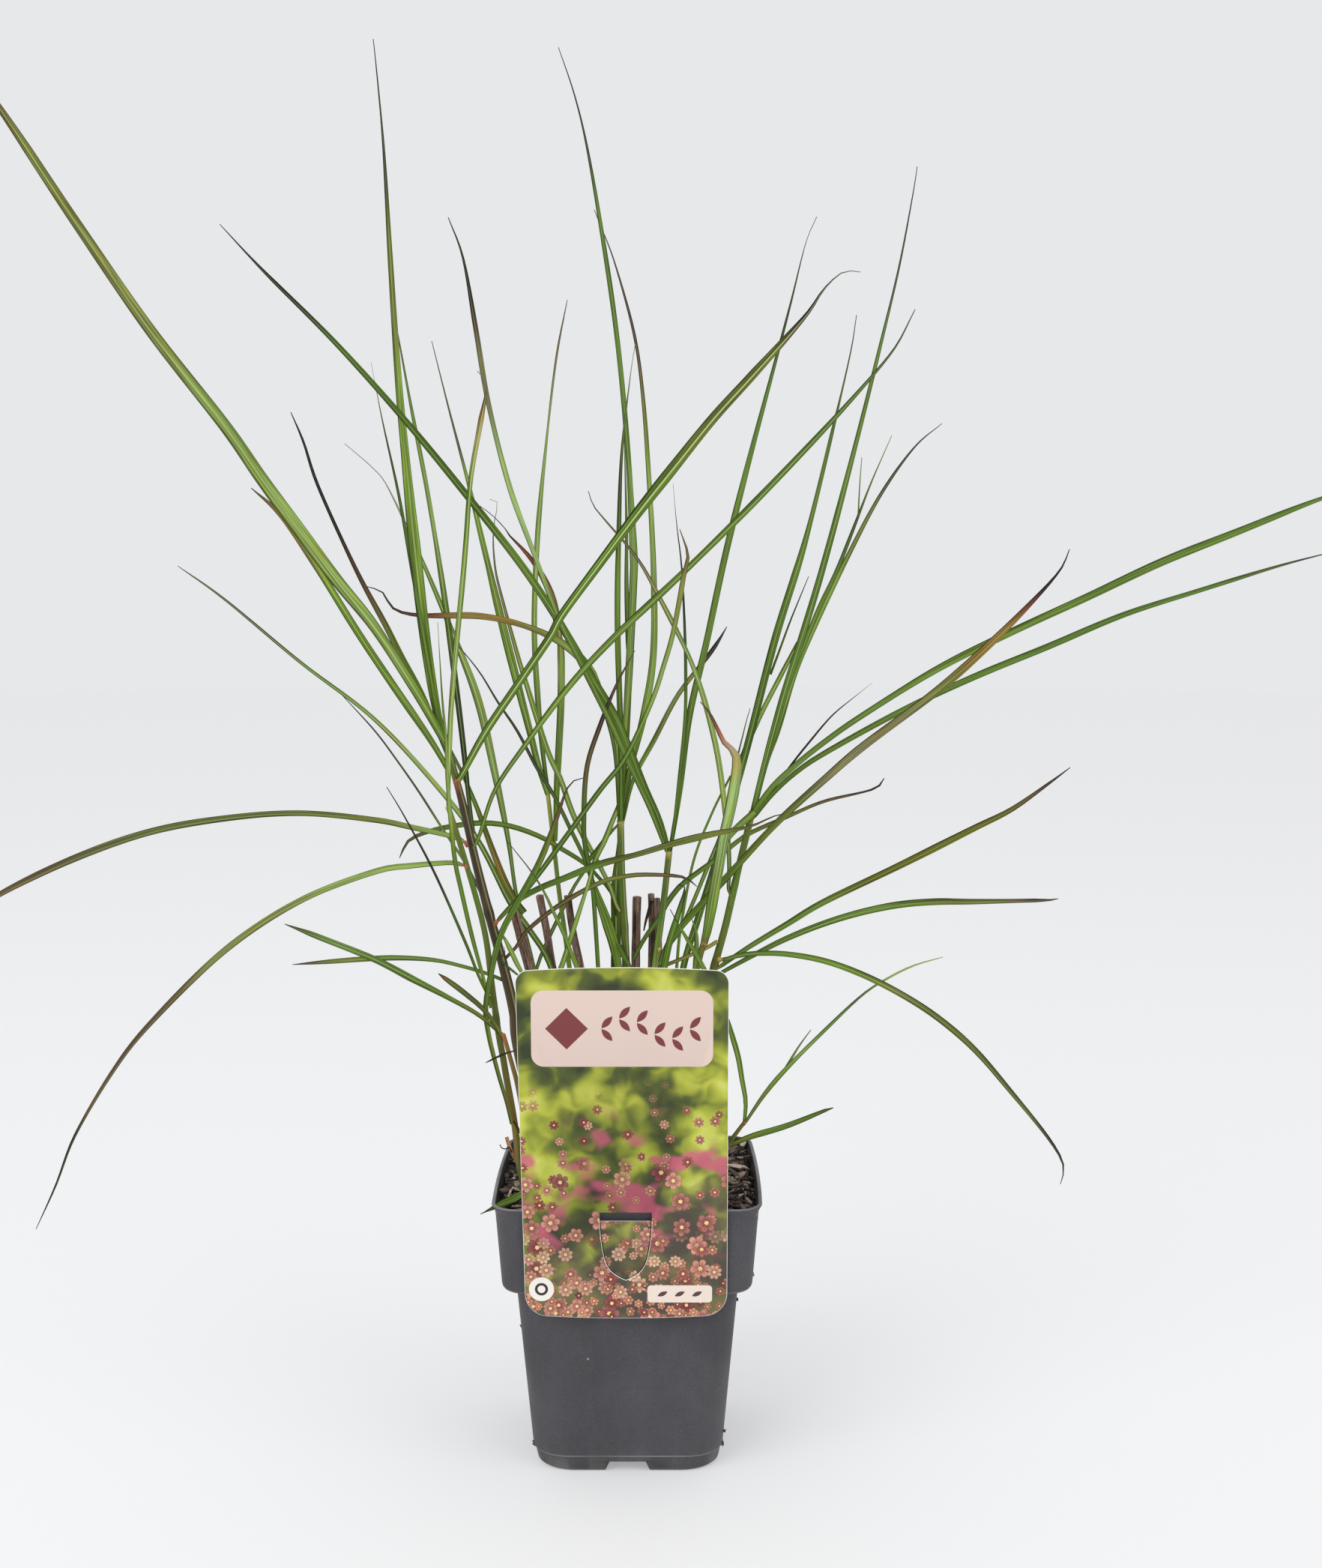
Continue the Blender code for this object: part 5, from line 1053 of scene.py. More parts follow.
def add_blade(surface, blade, seed, on_soil=False, foot=None):
    """A keeled grass blade with a midrib, thin edges and a drawn-out tip, closed on its stem at a foot."""
    points = course_points(blade)
    if foot:
        u, v, depth, collar = foot
        points.insert(0, place(u, v, depth * MM))
    if on_soil:
        points[0].z = max(points[0].z, SOIL_TOP + LOWEST_START)
    length = path_length(points)
    steps = max(round(length / BLADE_STEP), 12)
    path = smooth_path(points, steps)
    shares = [k / steps for k in range(steps + 1)]
    if foot:
        path[1:1] = [path[0].lerp(path[1], part) for part in FOOT_RINGS]
        shares[1:1] = [part / steps for part in FOOT_RINGS]
    heading = 1 if path[-1].x >= path[0].x else -1
    tints = [(share, rgb(name)) for share, name in blade["tint"]]
    first, last = blade.get("roll", USUAL_ROLL)
    rib = blade["rib"]
    rings = []
    for share, here, along in zip(shares, path, tangents(path)):
        ripple = noise.noise(Vector((share * length * RIPPLE_SCALE, seed * RIPPLE_SEED, 0)))
        roll = math.radians(first + (last - first) * share + ROLL_RIPPLE * ripple)
        upper = Vector((-along.z * heading, 0, along.x * heading)).normalized()
        face = Vector((0, -1, 0)) * math.cos(roll) + upper * math.sin(roll)
        face = (face - along * face.dot(along)).normalized()
        side = along.cross(face)
        width = at(blade["width"], share)
        if not isinstance(blade["width"], list):
            width *= blade_profile(share)
        half = width * MM / 2 * (1 + WIDTH_RIPPLE * ripple)
        tint = at(tints, share)
        run = share * length
        if foot:
            near = clamp(1 - run / FOOT_REACH)
            half *= 1 - (1 - FOOT_WIDTH_SHARE) * near
            tint = blend(tint, rgb(collar), near ** 0.7)
        thick = BLADE_THICKNESS * (1 - TIP_THINNING * share) * min(half / FULL_HALF_WIDTH, 1)
        upper_side, lower_side = [], []
        for t in ACROSS:
            fold = -2 * half * KEEL_SHARE * (1 - abs(t) ** KEEL_POWER)
            body = (BLADE_EDGE + thick * (1 - abs(t)) ** 0.8) / 2
            spot = here + side * (half * t) + face * fold
            course = (0.5 + t / 2, run + seed)
            upper_side.append(surface.point(spot + face * body, tint, rib, course))
            if abs(t) < 1:
                lower_side.append(surface.point(spot - face * body, tint, rib * UNDERSIDE_RIB, course))
        rings.append(upper_side + lower_side[::-1])
    surface.loft(rings)


def tube(surface, path, radius, sides, tint, seed, on_soil=True, closed_top=True, line=0.0):
    """A tube along a path. Radius and tint take the share of the length and the turn."""
    rings = []
    steps = len(path) - 1
    length = path_length(path)
    for k, (here, along) in enumerate(zip(path, tangents(path))):
        share = k / steps
        side = along.cross(Vector((0, 1, 0))).normalized()
        front = side.cross(along)
        ring = []
        for n in range(sides):
            turn = math.tau * n / sides
            reach = radius(share, turn)
            spot = here + (side * math.cos(turn) + front * math.sin(turn)) * reach
            if on_soil and k == 0:
                spot.z = SOIL_TOP + GAP
            across = 0.5 + 0.5 * math.cos(turn)
            ring.append(surface.point(spot, tint(share, turn), line, (across, share * length + seed)))
        rings.append(ring)
    surface.loft(rings, closed_top)
    return rings


def add_stem(surface, stem, seed):
    """A stem wrapped in its sheath, whose free edge shows as a pale line that is partly a painted highlight,
    with swollen joints.
    """
    tints = [(share, rgb(name)) for share, name in stem["tint"]]
    foot, top = stem["radius"]

    def radius(share, turn):
        wrap = ((turn + seed) % math.tau) / math.tau
        reach = (foot + (top - foot) * share) * (1 + SHEATH_WRAP * (wrap - 0.5))
        for joint in stem["joints"]:
            reach *= 1 + JOINT_SWELLING * math.exp(-((share - joint) / JOINT_REACH) ** 2)
        return reach * MM

    def tint(share, turn):
        shade = 1.0
        for joint in stem["joints"]:
            shade *= 1 - JOINT_SHADE * math.exp(-((share - joint) / JOINT_LINE_REACH) ** 2)
        return tuple(c * shade for c in at(tints, share))

    tube(surface, stem_path(stem, STEM_STEP, 8), radius, STEM_SIDES, tint, seed, line=stem.get("line", 0))


def add_cane(surface, cane, seed):
    """A dead cane: weathered, furrowed lengthwise, and cut off flat at the top."""
    path = stem_path(cane, CANE_STEP)
    foot, top = cane["radius"]

    def furrow(share, turn):
        where = Vector((math.cos(turn) * 2.6, math.sin(turn) * 2.6, share * 5 + seed))
        knot = noise.noise(Vector((math.cos(turn) * 1.2, math.sin(turn) * 1.2, share * 22 + seed)))
        return noise.noise(where) + 0.5 * noise.noise(where * 2.7) + 0.3 * knot

    def radius(share, turn):
        return (foot + (top - foot) * share) * MM * (1 + FURROW_DEPTH * furrow(share, turn))

    def tint(share, turn):
        # Darker down in the furrows: partly the cane's own colour there, partly painted shade in them.
        depth = clamp(0.55 + 0.9 * furrow(share, turn))
        mood = clamp(0.5 + noise.noise(Vector((turn, share * 9, seed + 7))))
        return blend(rgb("furrow"), blend(rgb("weathered"), rgb("bark"), mood), depth)

    edge = tube(surface, path, radius, CANE_SIDES, tint, seed, closed_top=False)[-1]
    centre = path[-1]
    along = (path[-1] - path[-2]).normalized()
    ring = edge
    for shrink, rise, name in CUT_END:
        spots = []
        for n, index in enumerate(edge):
            rough = 0.25 * noise.noise(Vector((n * 0.9, shrink * 9, seed)))
            spots.append(centre + (surface.points[index] - centre) * shrink + along * ((rise + rough) * MM))
        before, ring = ring, surface.ring(spots, rgb(name))
        surface.bridge(before, ring)
    surface.cap(ring)


def add_collar(surface, collar):
    """The pale or reddish swelling at the foot of a leaf."""
    u, v, depth, radius, height, name, lean = collar
    centre = place(u, v, depth * MM)
    along = Vector((math.sin(math.radians(lean)), 0, math.cos(math.radians(lean))))
    steps = len(COLLAR_BULGE) - 1
    path = [centre + along * (height * MM * (k / steps - 0.5)) for k in range(steps + 1)]

    def reach(share, turn):
        return radius * MM * COLLAR_BULGE[round(share * steps)] * (1 + 0.08 * math.sin(3 * turn + u))

    def tint(share, turn):
        return tuple(c * (0.8 + 0.35 * share) for c in rgb(name))

    tube(surface, path, reach, COLLAR_SIDES, tint, u * 0.01, on_soil=False)


# Splinters of bark: outline in halves of length and width, parts of each colour, width as a share of length,
# thickness (mm) and spread of the tilts along and across (radians). Crumbs: length and thickness (mm).
CHIP_OUTLINE = ((-1, 0.1), (-0.55, 0.9), (0.2, 1), (0.95, 0.45), (1, -0.3), (0.4, -1), (-0.6, -0.8))
CHIP_COLOURS = {"humus": 30, "peat": 24, "splinter": 16, "chip": 18, "pale_chip": 12}
CHIP_WIDTH_SHARE = (0.12, 0.36)
CHIP_THICKNESS = (0.4, 1.2)
CHIP_TILTS = (0.26, 0.4)
CRUMB_LENGTH = (0.8, 1.9)
CRUMB_THICKNESS = 0.5


def add_chip(surface, where, size, turn, tilt, colour, chance):
    """A splinter of bark: a thin, uneven, pointed slab."""
    length, width, thick = size
    axis = Vector((math.cos(turn), math.sin(turn), math.tan(tilt[0]))).normalized()
    side = Vector((-math.sin(turn), math.cos(turn), math.tan(tilt[1])))
    side = (side - axis * side.dot(axis)).normalized()
    up = axis.cross(side)
    top, bottom = [], []
    for x, y in CHIP_OUTLINE:
        x *= 1 + chance.uniform(-0.15, 0.15)
        y *= 1 + chance.uniform(-0.35, 0.35)
        spot = where + axis * (x * length / 2) + side * (y * width / 2)
        shade = chance.uniform(0.8, 1.2)
        tint = tuple(c * shade for c in colour)
        course = (0.5 + y / 2, x * length / 2 + where.x * 9)
        top.append(surface.point(spot + up * (thick / 2 * chance.uniform(0.5, 1.2)), tint, 0, course))
        bottom.append(surface.point(spot - up * (thick / 2), tint, 0, course))
    surface.loft([bottom, top])


def chip_colour(chance):
    """A colour for one splinter, dark for most of them."""
    return rgb(chance.choices(tuple(CHIP_COLOURS), tuple(CHIP_COLOURS.values()))[0])


MULCH_MARGIN = 0.8 * MM

# Layers of the mulch: how many splinters, how low and high about the soil's top, how short and long (mm).
MULCH_LAYERS = ((1900, -2.0, -0.2, 1.8, 5.0), (2000, -0.8, 0.7, 1.6, 5.5), (650, 0.4, 1.5, 2.5, 8.5),
                (230, 0.9, 2.2, 5.0, 10.0))


def make_mulch(material):
    """Bark mulch: layers of splinters over the root ball, down into its hollows."""
    chance = random.Random(MULCH_SEED)
    surface = Surface()
    half = RIM_WIDTH / 2 - LIP_PROUD - WALL - MULCH_MARGIN
    corner = TOP_CORNER - WALL
    for count, low, high, small, large in MULCH_LAYERS:
        for _ in range(count):
            x, y = chance.uniform(-half, half), chance.uniform(-half, half)
            past = math.hypot(max(abs(x) - half + corner, 0), max(abs(y) - half + corner, 0))
            if past > corner:
                continue
            x += SIDE_BOW * (1 - (y / half) ** 2) * x / half
            length = chance.uniform(small, large) * MM
            width = length * chance.uniform(*CHIP_WIDTH_SHARE)
            room = clamp((half - max(abs(x), abs(y))) / (length / 2))
            z = SOIL_TOP + chance.uniform(low, high) * MM
            size = (length * (0.45 + 0.55 * room), width, chance.uniform(*CHIP_THICKNESS) * MM)
            tilt = [chance.gauss(0, spread) for spread in CHIP_TILTS]
            turn = chance.uniform(0, math.tau)
            add_chip(surface, Vector((x, y, z)), size, turn, tilt, chip_colour(chance), chance)
    hand_in(surface.to_object("bark_mulch", material, 25))


# Crumbs of soil that stick to the pot: place, spread across the wall and along it (mm), and how many.
CRUMBS = (((51.7, -37.5, 84), 0.3, 1.3, 7), ((39.6, -27.5, 8), 0.5, 1.3, 12), ((40.6, -28, 13), 0.3, 0.8, 3),
          ((-39.6, -27.5, 8), 0.4, 1.2, 6), ((-44.4, -31, 60), 0.2, 0.5, 3), ((45.4, -33, 72), 0.2, 0.5, 3),
          ((53.4, -41, 110), 0.3, 0.8, 3), ((-49.5, -45, 95), 0.2, 0.6, 2))


def make_crumbs(material):
    """Crumbs of soil on the pot's wall, foot and rim."""
    chance = random.Random(CRUMB_SEED)
    surface = Surface()
    for (x, y, z), across, along, count in CRUMBS:
        for _ in range(count):
            spot = Vector((x + chance.uniform(-across, across), y + chance.uniform(-along, along),
                           z + chance.uniform(-along, along)))
            length = chance.uniform(*CRUMB_LENGTH)
            size = (length * MM, length * 0.6 * MM, CRUMB_THICKNESS * MM)
            turn = chance.uniform(0, math.tau)
            tilt = (chance.uniform(-1, 1), chance.uniform(-1, 1))
            add_chip(surface, spot * MM, size, turn, tilt, chip_colour(chance), chance)
    hand_in(surface.to_object("soil_crumbs", material, 25))


def cut(body, tool, operation="DIFFERENCE"):
    """Cuts a tool out of a body, or joins it on, and takes the tool out of the scene."""
    change = body.modifiers.new("cut", "BOOLEAN")
    change.operation = operation
    change.object = tool
    graph = bpy.context.evaluated_depsgraph_get()
    mesh = bpy.data.meshes.new_from_object(body.evaluated_get(graph))
    body.modifiers.clear()
    body.data = mesh
    bpy.data.objects.remove(tool)


def rounded_square(width, corner, z):
    """Points of a square with round corners, counter-clockwise seen from above, with bowed side walls."""
    half = width / 2
    reach = half - corner
    bow = SIDE_BOW * max(0, 1 - (POT_HEIGHT - z) / COLLAR_HEIGHT)
    flat = []
    for quarter, (sx, sy) in enumerate(((1, 1), (-1, 1), (-1, -1), (1, -1))):
        for k in range(CORNER_STEPS + 1):
            turn = math.pi / 2 * (quarter + k / CORNER_STEPS)
            flat.append((sx * reach + corner * math.cos(turn), sy * reach + corner * math.sin(turn)))
        if quarter in (1, 3):
            flat += [(sx * half, sy * reach * (1 - step / SIDE_STEPS * 2)) for step in range(1, SIDE_STEPS)]
    return [Vector((x + bow * (1 - (y / half) ** 2) * x / half, y, z)) for x, y in flat]


def box_tool(low, high, material):
    outline = ((low[0], low[1]), (high[0], low[1]), (high[0], high[1]), (low[0], high[1]))
    return lofted("tool", [[Vector((x, y, z)) for x, y in outline] for z in (low[2], high[2])], material)


def notch_tool(along_x, low, high, floor, top, material):
    """A bar for a notch in the foot, wider below, that runs from low to high along x or y."""
    outlines = []
    for z in (floor, top):
        half = (NOTCH_WIDTH + NOTCH_FLARE * (0.5 - z / NOTCH_HEIGHT)) / 2
        if along_x:
            outline = ((low, -half), (high, -half), (high, half), (low, half))
        else:
            outline = ((-half, low), (half, low), (half, high), (-half, high))
        outlines.append([Vector((x, y, z)) for x, y in outline])
    return lofted("tool", outlines, material)


def drain_tool(x, y, material):
    """A bar for a round hole through the raised floor."""
    turns = [math.tau * k / DRAIN_SIDES for k in range(DRAIN_SIDES)]
    ring = [Vector((x, y, 0)) + Vector((math.cos(turn), math.sin(turn), 0)) * DRAIN_RADIUS for turn in turns]
    outlines = [[spot + Vector((0, 0, z)) for spot in ring] for z in (-MM, 3 * UNDER_FLOOR)]
    return lofted("tool", outlines, material)


def make_pot(material, inner_material):
    """The square pot: collar under a flared lip, plain body, crease, and a foot with notches and holes.

    Each row of its profile is a width, a corner radius and a height.
    """
    collar_foot = POT_HEIGHT - COLLAR_HEIGHT
    under_lip = POT_HEIGHT - LIP_HEIGHT
    collar_top = RIM_WIDTH - 2 * LIP_PROUD
    foot = [
        (FOOT_WIDTH - 2 * FOOT_RIM, TOP_CORNER, UNDER_FLOOR),
        (FOOT_WIDTH - 2 * FOOT_RIM + 1 * MM, TOP_CORNER, 0),
        (FOOT_WIDTH - 2 * MM, FOOT_CORNER - 1 * MM, 0),
        (FOOT_WIDTH - 0.6 * MM, FOOT_CORNER - 0.3 * MM, 0.35 * MM),
        (FOOT_WIDTH + 1 * MM, FOOT_CORNER, 1.2 * MM),
        (BODY_FOOT_WIDTH - 2 * CREASE_DEPTH, FOOT_CORNER, CREASE_HEIGHT - 1.6 * MM),
        (BODY_FOOT_WIDTH - 1.2 * CREASE_DEPTH, FOOT_CORNER, CREASE_HEIGHT - 0.5 * MM),
        (BODY_FOOT_WIDTH, FOOT_CORNER - 0.4 * MM, CREASE_HEIGHT),
        (BODY_FOOT_WIDTH + 0.4 * MM, FOOT_CORNER - 0.5 * MM, CREASE_HEIGHT + 0.9 * MM),
    ]
    collar = [
        (BODY_TOP_WIDTH, TOP_CORNER, collar_foot - 1 * MM),
        (COLLAR_FOOT_WIDTH - 4 * MM, TOP_CORNER, collar_foot - 0.4 * MM),
        (COLLAR_FOOT_WIDTH - 1.5 * MM, TOP_CORNER + 0.7 * MM, collar_foot + COLLAR_ROUND * 0.12),
        (COLLAR_FOOT_WIDTH - 0.5 * MM, TOP_CORNER + 0.9 * MM, collar_foot + COLLAR_ROUND * 0.5),
        (COLLAR_FOOT_WIDTH, TOP_CORNER + 1 * MM, collar_foot + COLLAR_ROUND),
        (collar_top, TOP_CORNER, under_lip),
    ]
    lip = [
        (collar_top + LIP_PROUD * 0.22, TOP_CORNER, under_lip + LIP_HEIGHT * 0.26),
        (collar_top + LIP_PROUD * 0.7, TOP_CORNER, under_lip + LIP_HEIGHT * 0.48),
        (collar_top + LIP_PROUD * 1.35, TOP_CORNER, under_lip + LIP_HEIGHT * 0.66),
        (RIM_WIDTH - 0.4 * MM, TOP_CORNER, POT_HEIGHT - 1 * MM),
        (RIM_WIDTH, TOP_CORNER, POT_HEIGHT - 0.5 * MM),
        (RIM_WIDTH - 0.3 * MM, TOP_CORNER, POT_HEIGHT - 0.15 * MM),
        (RIM_WIDTH - 0.8 * MM, TOP_CORNER, POT_HEIGHT),
        (RIM_WIDTH - 2 * WALL - 0.4 * MM, TOP_CORNER - WALL, POT_HEIGHT),
        (RIM_WIDTH - 2 * WALL - 0.8 * MM, TOP_CORNER - WALL, POT_HEIGHT - 0.4 * MM),
        (collar_top - 2 * WALL + 1.6 * MM, TOP_CORNER - WALL, POT_HEIGHT - 1.8 * MM),
    ]
    inside = [
        (collar_top - 2 * WALL, TOP_CORNER - WALL, under_lip + 0.4 * MM),
        (COLLAR_FOOT_WIDTH - 2 * WALL, TOP_CORNER - WALL, collar_foot + WALL + 1.5 * MM),
        (BODY_TOP_WIDTH - 2 * WALL, TOP_CORNER - WALL, collar_foot + WALL - 1 * MM),
        (BODY_FOOT_WIDTH - 2 * WALL, FOOT_CORNER - 2 * MM, CREASE_HEIGHT + 2 * MM),
        (BODY_FOOT_WIDTH - 2 * WALL - 3 * MM, FOOT_CORNER - 3 * MM, INNER_FLOOR),
    ]
    pot = lofted("pot_shell", [rounded_square(*row) for row in foot + collar + lip + inside], material, 32)
    pot.data.materials.append(inner_material)
    for face in pot.data.polygons:
        if INNER_FLOOR < face.center.z < POT_HEIGHT - 0.5 * MM and face.normal.xy.dot(face.center.xy) < 0:
            face.material_index = 1

    core = FOOT_WIDTH / 2 - NOTCH_DEPTH
    for along_x in (True, False):
        cut(pot, notch_tool(along_x, -RIM_WIDTH, RIM_WIDTH, -MM, UNDER_FLOOR, material))
        for low, high in ((-RIM_WIDTH, -core), (core, RIM_WIDTH)):
            cut(pot, notch_tool(along_x, low, high, UNDER_FLOOR - GAP, NOTCH_HEIGHT, material))
    for x in (-DRAIN_OFFSET, DRAIN_OFFSET):
        for y in (-DRAIN_OFFSET, DRAIN_OFFSET):
            cut(pot, drain_tool(x, y, material))
    hand_in(pot, "pot")


def label_point(across, up, behind=0.0):
    """A point of the label's leaning plate, from the middle of its lower edge."""
    z = LABEL_BOTTOM + up
    lean = (z - POT_HEIGHT + LABEL_TOUCH) * math.tan(LABEL_LEAN)
    return Vector((LABEL_X + across, -RIM_WIDTH / 2 - GAP - LABEL_THICKNESS - lean + behind, z))


def label_outline(inset):
    """Outline of the label, drawn in by an inset: across and up from the middle of its lower edge."""
    half = LABEL_WIDTH / 2 - inset
    top = LABEL_HEIGHT - inset
    corners = ((half, top, LABEL_TOP_RADIUS, 0), (-half, top, LABEL_TOP_RADIUS, 1),
               (-half, inset, LABEL_FOOT_RADIUS, 2), (half, inset, LABEL_FOOT_RADIUS, 3))
    outline = []
    for x, z, radius, quarter in corners:
        reach = radius - inset
        centre_x = x - math.copysign(reach, x)
        upper = quarter in (0, 1)
        centre_z = z - reach if upper else z + reach
        for k in range(LABEL_CORNER_STEPS + 1):
            turn = math.pi / 2 * (quarter + k / LABEL_CORNER_STEPS)
            outline.append((centre_x + reach * math.cos(turn), centre_z + reach * math.sin(turn)))
        if quarter in (0, 2):
            for step in range(1, LABEL_SIDE_STEPS):
                share = 1 - 2 * step / LABEL_SIDE_STEPS
                outline.append(((half - reach) * share * (1 if quarter == 0 else -1), z))
    bowed = []
    for x, z in outline:
        bow = LABEL_ARCH * (1 - (x / (LABEL_WIDTH / 2)) ** 2)
        z += bow if z > LABEL_HEIGHT / 2 else -bow
        if x < 0:
            x *= 1 - LABEL_TAPER / (LABEL_WIDTH / 2) * (1 - z / LABEL_HEIGHT)
        bowed.append((x, z))
    return bowed


# The tongue cut into the label below its window, across and down from the window's lower edge (mm).
TONGUE = ((10.3, 0), (10.1, -4.5), (9.5, -10), (8.6, -15.2), (7.4, -18.8), (5.6, -21.4), (3.4, -23.1),
          (0.7, -24.6), (0, -24.9))
TONGUE_STEPS = 30
SLIT_WIDTH = 0.42 * MM
BURR_TINT = (0.9, 0.9, 0.9)


def tongue_line():
    """The line of the slit that frees the tongue, down one side and up the other."""
    middle = Vector((WINDOW_X - LABEL_X, POT_HEIGHT - WINDOW_DROP - WINDOW_HEIGHT - LABEL_BOTTOM, 0))
    right = [Vector((x, z, 0)) * MM for x, z in TONGUE]
    left = [Vector((-spot.x, spot.y, 0)) for spot in reversed(right[:-1])]
    line = smooth_path(right, TONGUE_STEPS)[:-1] + smooth_path([right[-1]] + left, TONGUE_STEPS)
    return [spot + middle for spot in line]


def along_tongue(name, inner, outer, front, back, material):
    """A strip beside the tongue's line, between two distances from it and two depths."""
    outlines = []
    line = tongue_line()
    for spot, along in zip(line, tangents(line)):
        out = Vector((-along.y, along.x, 0))
        corners = ((inner, front), (outer, front), (outer, back), (inner, back))
        outlines.append([label_point(*(spot + out * reach).xy, behind) for reach, behind in corners])
    return lofted(name, outlines, material, tint=BURR_TINT)


def make_label(print_material, card_material):
    """The plastic card: printed front, white rim and back, window, cut tongue, and a tab over the lip."""
    layers = ((0.18 * MM, 0), (0.05 * MM, 0.05 * MM), (0, 0.15 * MM), (0, LABEL_THICKNESS))
    outlines = [[label_point(x, z, behind) for x, z in label_outline(inset)] for inset, behind in layers]
    label = lofted("label_card", outlines, print_material, 20)

    top = POT_HEIGHT - WINDOW_DROP
    lip_front = -RIM_WIDTH / 2 - GAP
    cut(label, box_tool((WINDOW_X - WINDOW_WIDTH / 2, -RIM_WIDTH, top - WINDOW_HEIGHT),
                        (WINDOW_X + WINDOW_WIDTH / 2, lip_front + GAP, top), print_material))
    cut(label, along_tongue("tool", -SLIT_WIDTH / 2, SLIT_WIDTH / 2, -1 * MM, 2 * MM, print_material))

    over = POT_HEIGHT + TAB_RISE
    front = lip_front - LABEL_THICKNESS / 2
    inner = -RIM_WIDTH / 2 + TAB_REACH
    low = POT_HEIGHT - TAB_DROP
    profile = [(front, over), (front, over + LABEL_THICKNESS),
               (inner + LABEL_THICKNESS, over + LABEL_THICKNESS), (inner + 2 * LABEL_THICKNESS, low),
               (inner + LABEL_THICKNESS, low), (inner, over)]
    sides = (WINDOW_X - TAB_WIDTH / 2, WINDOW_X + TAB_WIDTH / 2)
    tab = lofted("tool", [[Vector((x, y, z)) for y, z in profile] for x in sides], print_material)
    cut(label, tab, "UNION")

    mesh = label.data
    mesh.materials.append(card_material)
    sheet = mesh.uv_layers.new(name="sheet")
    for face in mesh.polygons:
        front_y = label_point(0, face.center.z - LABEL_BOTTOM, 0.02 * MM).y
        on_front = face.normal.y < -0.99 and face.center.y < front_y
        face.material_index = 0 if on_front else 1
        for loop in face.loop_indices:
            spot = mesh.vertices[mesh.loops[loop].vertex_index].co
            sheet.data[loop].uv = ((spot.x - LABEL_X) / MM, (spot.z - LABEL_BOTTOM) / MM)
    hand_in(label, "label")

    inner, outer = SLIT_WIDTH / 2 + 0.02 * MM, SLIT_WIDTH / 2 + 0.16 * MM
    hand_in(along_tongue("label_slit_burr", inner, outer, -0.08 * MM, 0.1 * MM, card_material))


class Nodes:
    """Short ways to add the shader nodes of one material."""

    def __init__(self, name):
        self.material = bpy.data.materials.new(name)
        self.material.use_nodes = True
        self.tree = self.material.node_tree
        self.shader = self.tree.nodes["Principled BSDF"]

    def plug(self, socket, value):
        if isinstance(value, bpy.types.NodeSocket):
            self.tree.links.new(value, socket)
        elif isinstance(value, tuple) and len(value) == 3 and len(socket.default_value) == 4:
            socket.default_value = (*value, 1)
        else:
            socket.default_value = value

    def set(self, **values):
        for name, value in values.items():
            self.plug(self.shader.inputs[name.replace("_", " ")], value)

    def add(self, kind, inputs=(), **settings):
        """Adds a node, plugs its inputs by their names or in their order, and gives its outputs."""
        node = self.tree.nodes.new("ShaderNode" + kind)
        for name, value in settings.items():
            setattr(node, name, value)
        for key, value in inputs.items() if isinstance(inputs, dict) else enumerate(inputs):
            self.plug(node.inputs[key], value)
        return node.outputs

    def attribute(self, name):
        return self.add("Attribute", attribute_name=name)

    def uv(self, name, scale=(1, 1, 1)):
        return self.scaled(self.add("UVMap", uv_map=name)["UV"], scale)

    def position(self, scale=(1, 1, 1)):
        return self.scaled(self.add("TexCoord")["Object"], scale)

    def scaled(self, vector, scale, shift=(0, 0, 0)):
        return self.add("Mapping", {"Vector": vector, "Scale": scale, "Location": shift})["Vector"]

    def parts(self, vector):
        return self.add("SeparateXYZ", [vector])

    def math(self, operation, a, b=0.0, c=0.0):
        return self.add("Math", [a, b, c], operation=operation)[0]

    def away(self, value, middle):
        return self.math("ABSOLUTE", self.math("SUBTRACT", value, middle))

    def span(self, value, low, high, first=0.0, last=1.0):
        """Smooth step of a value from low..high to first..last."""
        return self.add("MapRange", [value, low, high, first, last], interpolation_type="SMOOTHSTEP")[0]

    def mix(self, share, a, b, mode="MIX"):
        """A mix of two colours, which are the seventh and eighth inputs of the node."""
        return self.add("Mix", {"Factor": share, 6: a, 7: b}, data_type="RGBA", blend_type=mode)[2]

    def times(self, colour, factor):
        """A colour made brighter or darker by a value."""
        return self.mix(1.0, colour, self.add("CombineColor", [factor] * 3)[0], "MULTIPLY")

    def noise(self, vector, scale, detail, roughness, distortion=0.0):
        return self.add("TexNoise", {"Vector": vector, "Scale": scale, "Detail": detail,
                                     "Roughness": roughness, "Distortion": distortion})[0]

    def fibres(self, across, along, detail, roughness):
        """Noise that is drawn out along a blade, a stem or a chip."""
        return self.noise(self.uv("course", (across, along, 1)), 1.0, detail, roughness)

    def voronoi(self, vector, scale, randomness=1.0, flat=False):
        return self.add("TexVoronoi", {"Vector": vector, "Scale": scale, "Randomness": randomness},
                        voronoi_dimensions="2D" if flat else "3D")

    def ramp(self, value, stops):
        node = self.tree.nodes.new("ShaderNodeValToRGB")
        self.plug(node.inputs[0], value)
        elements = node.color_ramp.elements
        while len(elements) < len(stops):
            elements.new(0.5)
        for element, (where, colour) in zip(elements, stops):
            element.position = where
            element.color = (*rgb(colour), 1)
        return node.outputs[0]

    def finish(self, colour, roughness, bump, specular=0.5):
        """Gives the material, with bumps by a value, as deep as a distance and as clear as a strength."""
        self.set(Base_Color=colour, Roughness=roughness, Specular_IOR_Level=specular)
        height, distance, strength = bump
        bumped = self.add("Bump", {"Strength": strength, "Distance": distance, "Height": height})
        self.set(Normal=bumped[0])
        return self.material


# What the warmer patches of a blade are multiplied by.
WARMTH = (1.14, 1.03, 0.66)


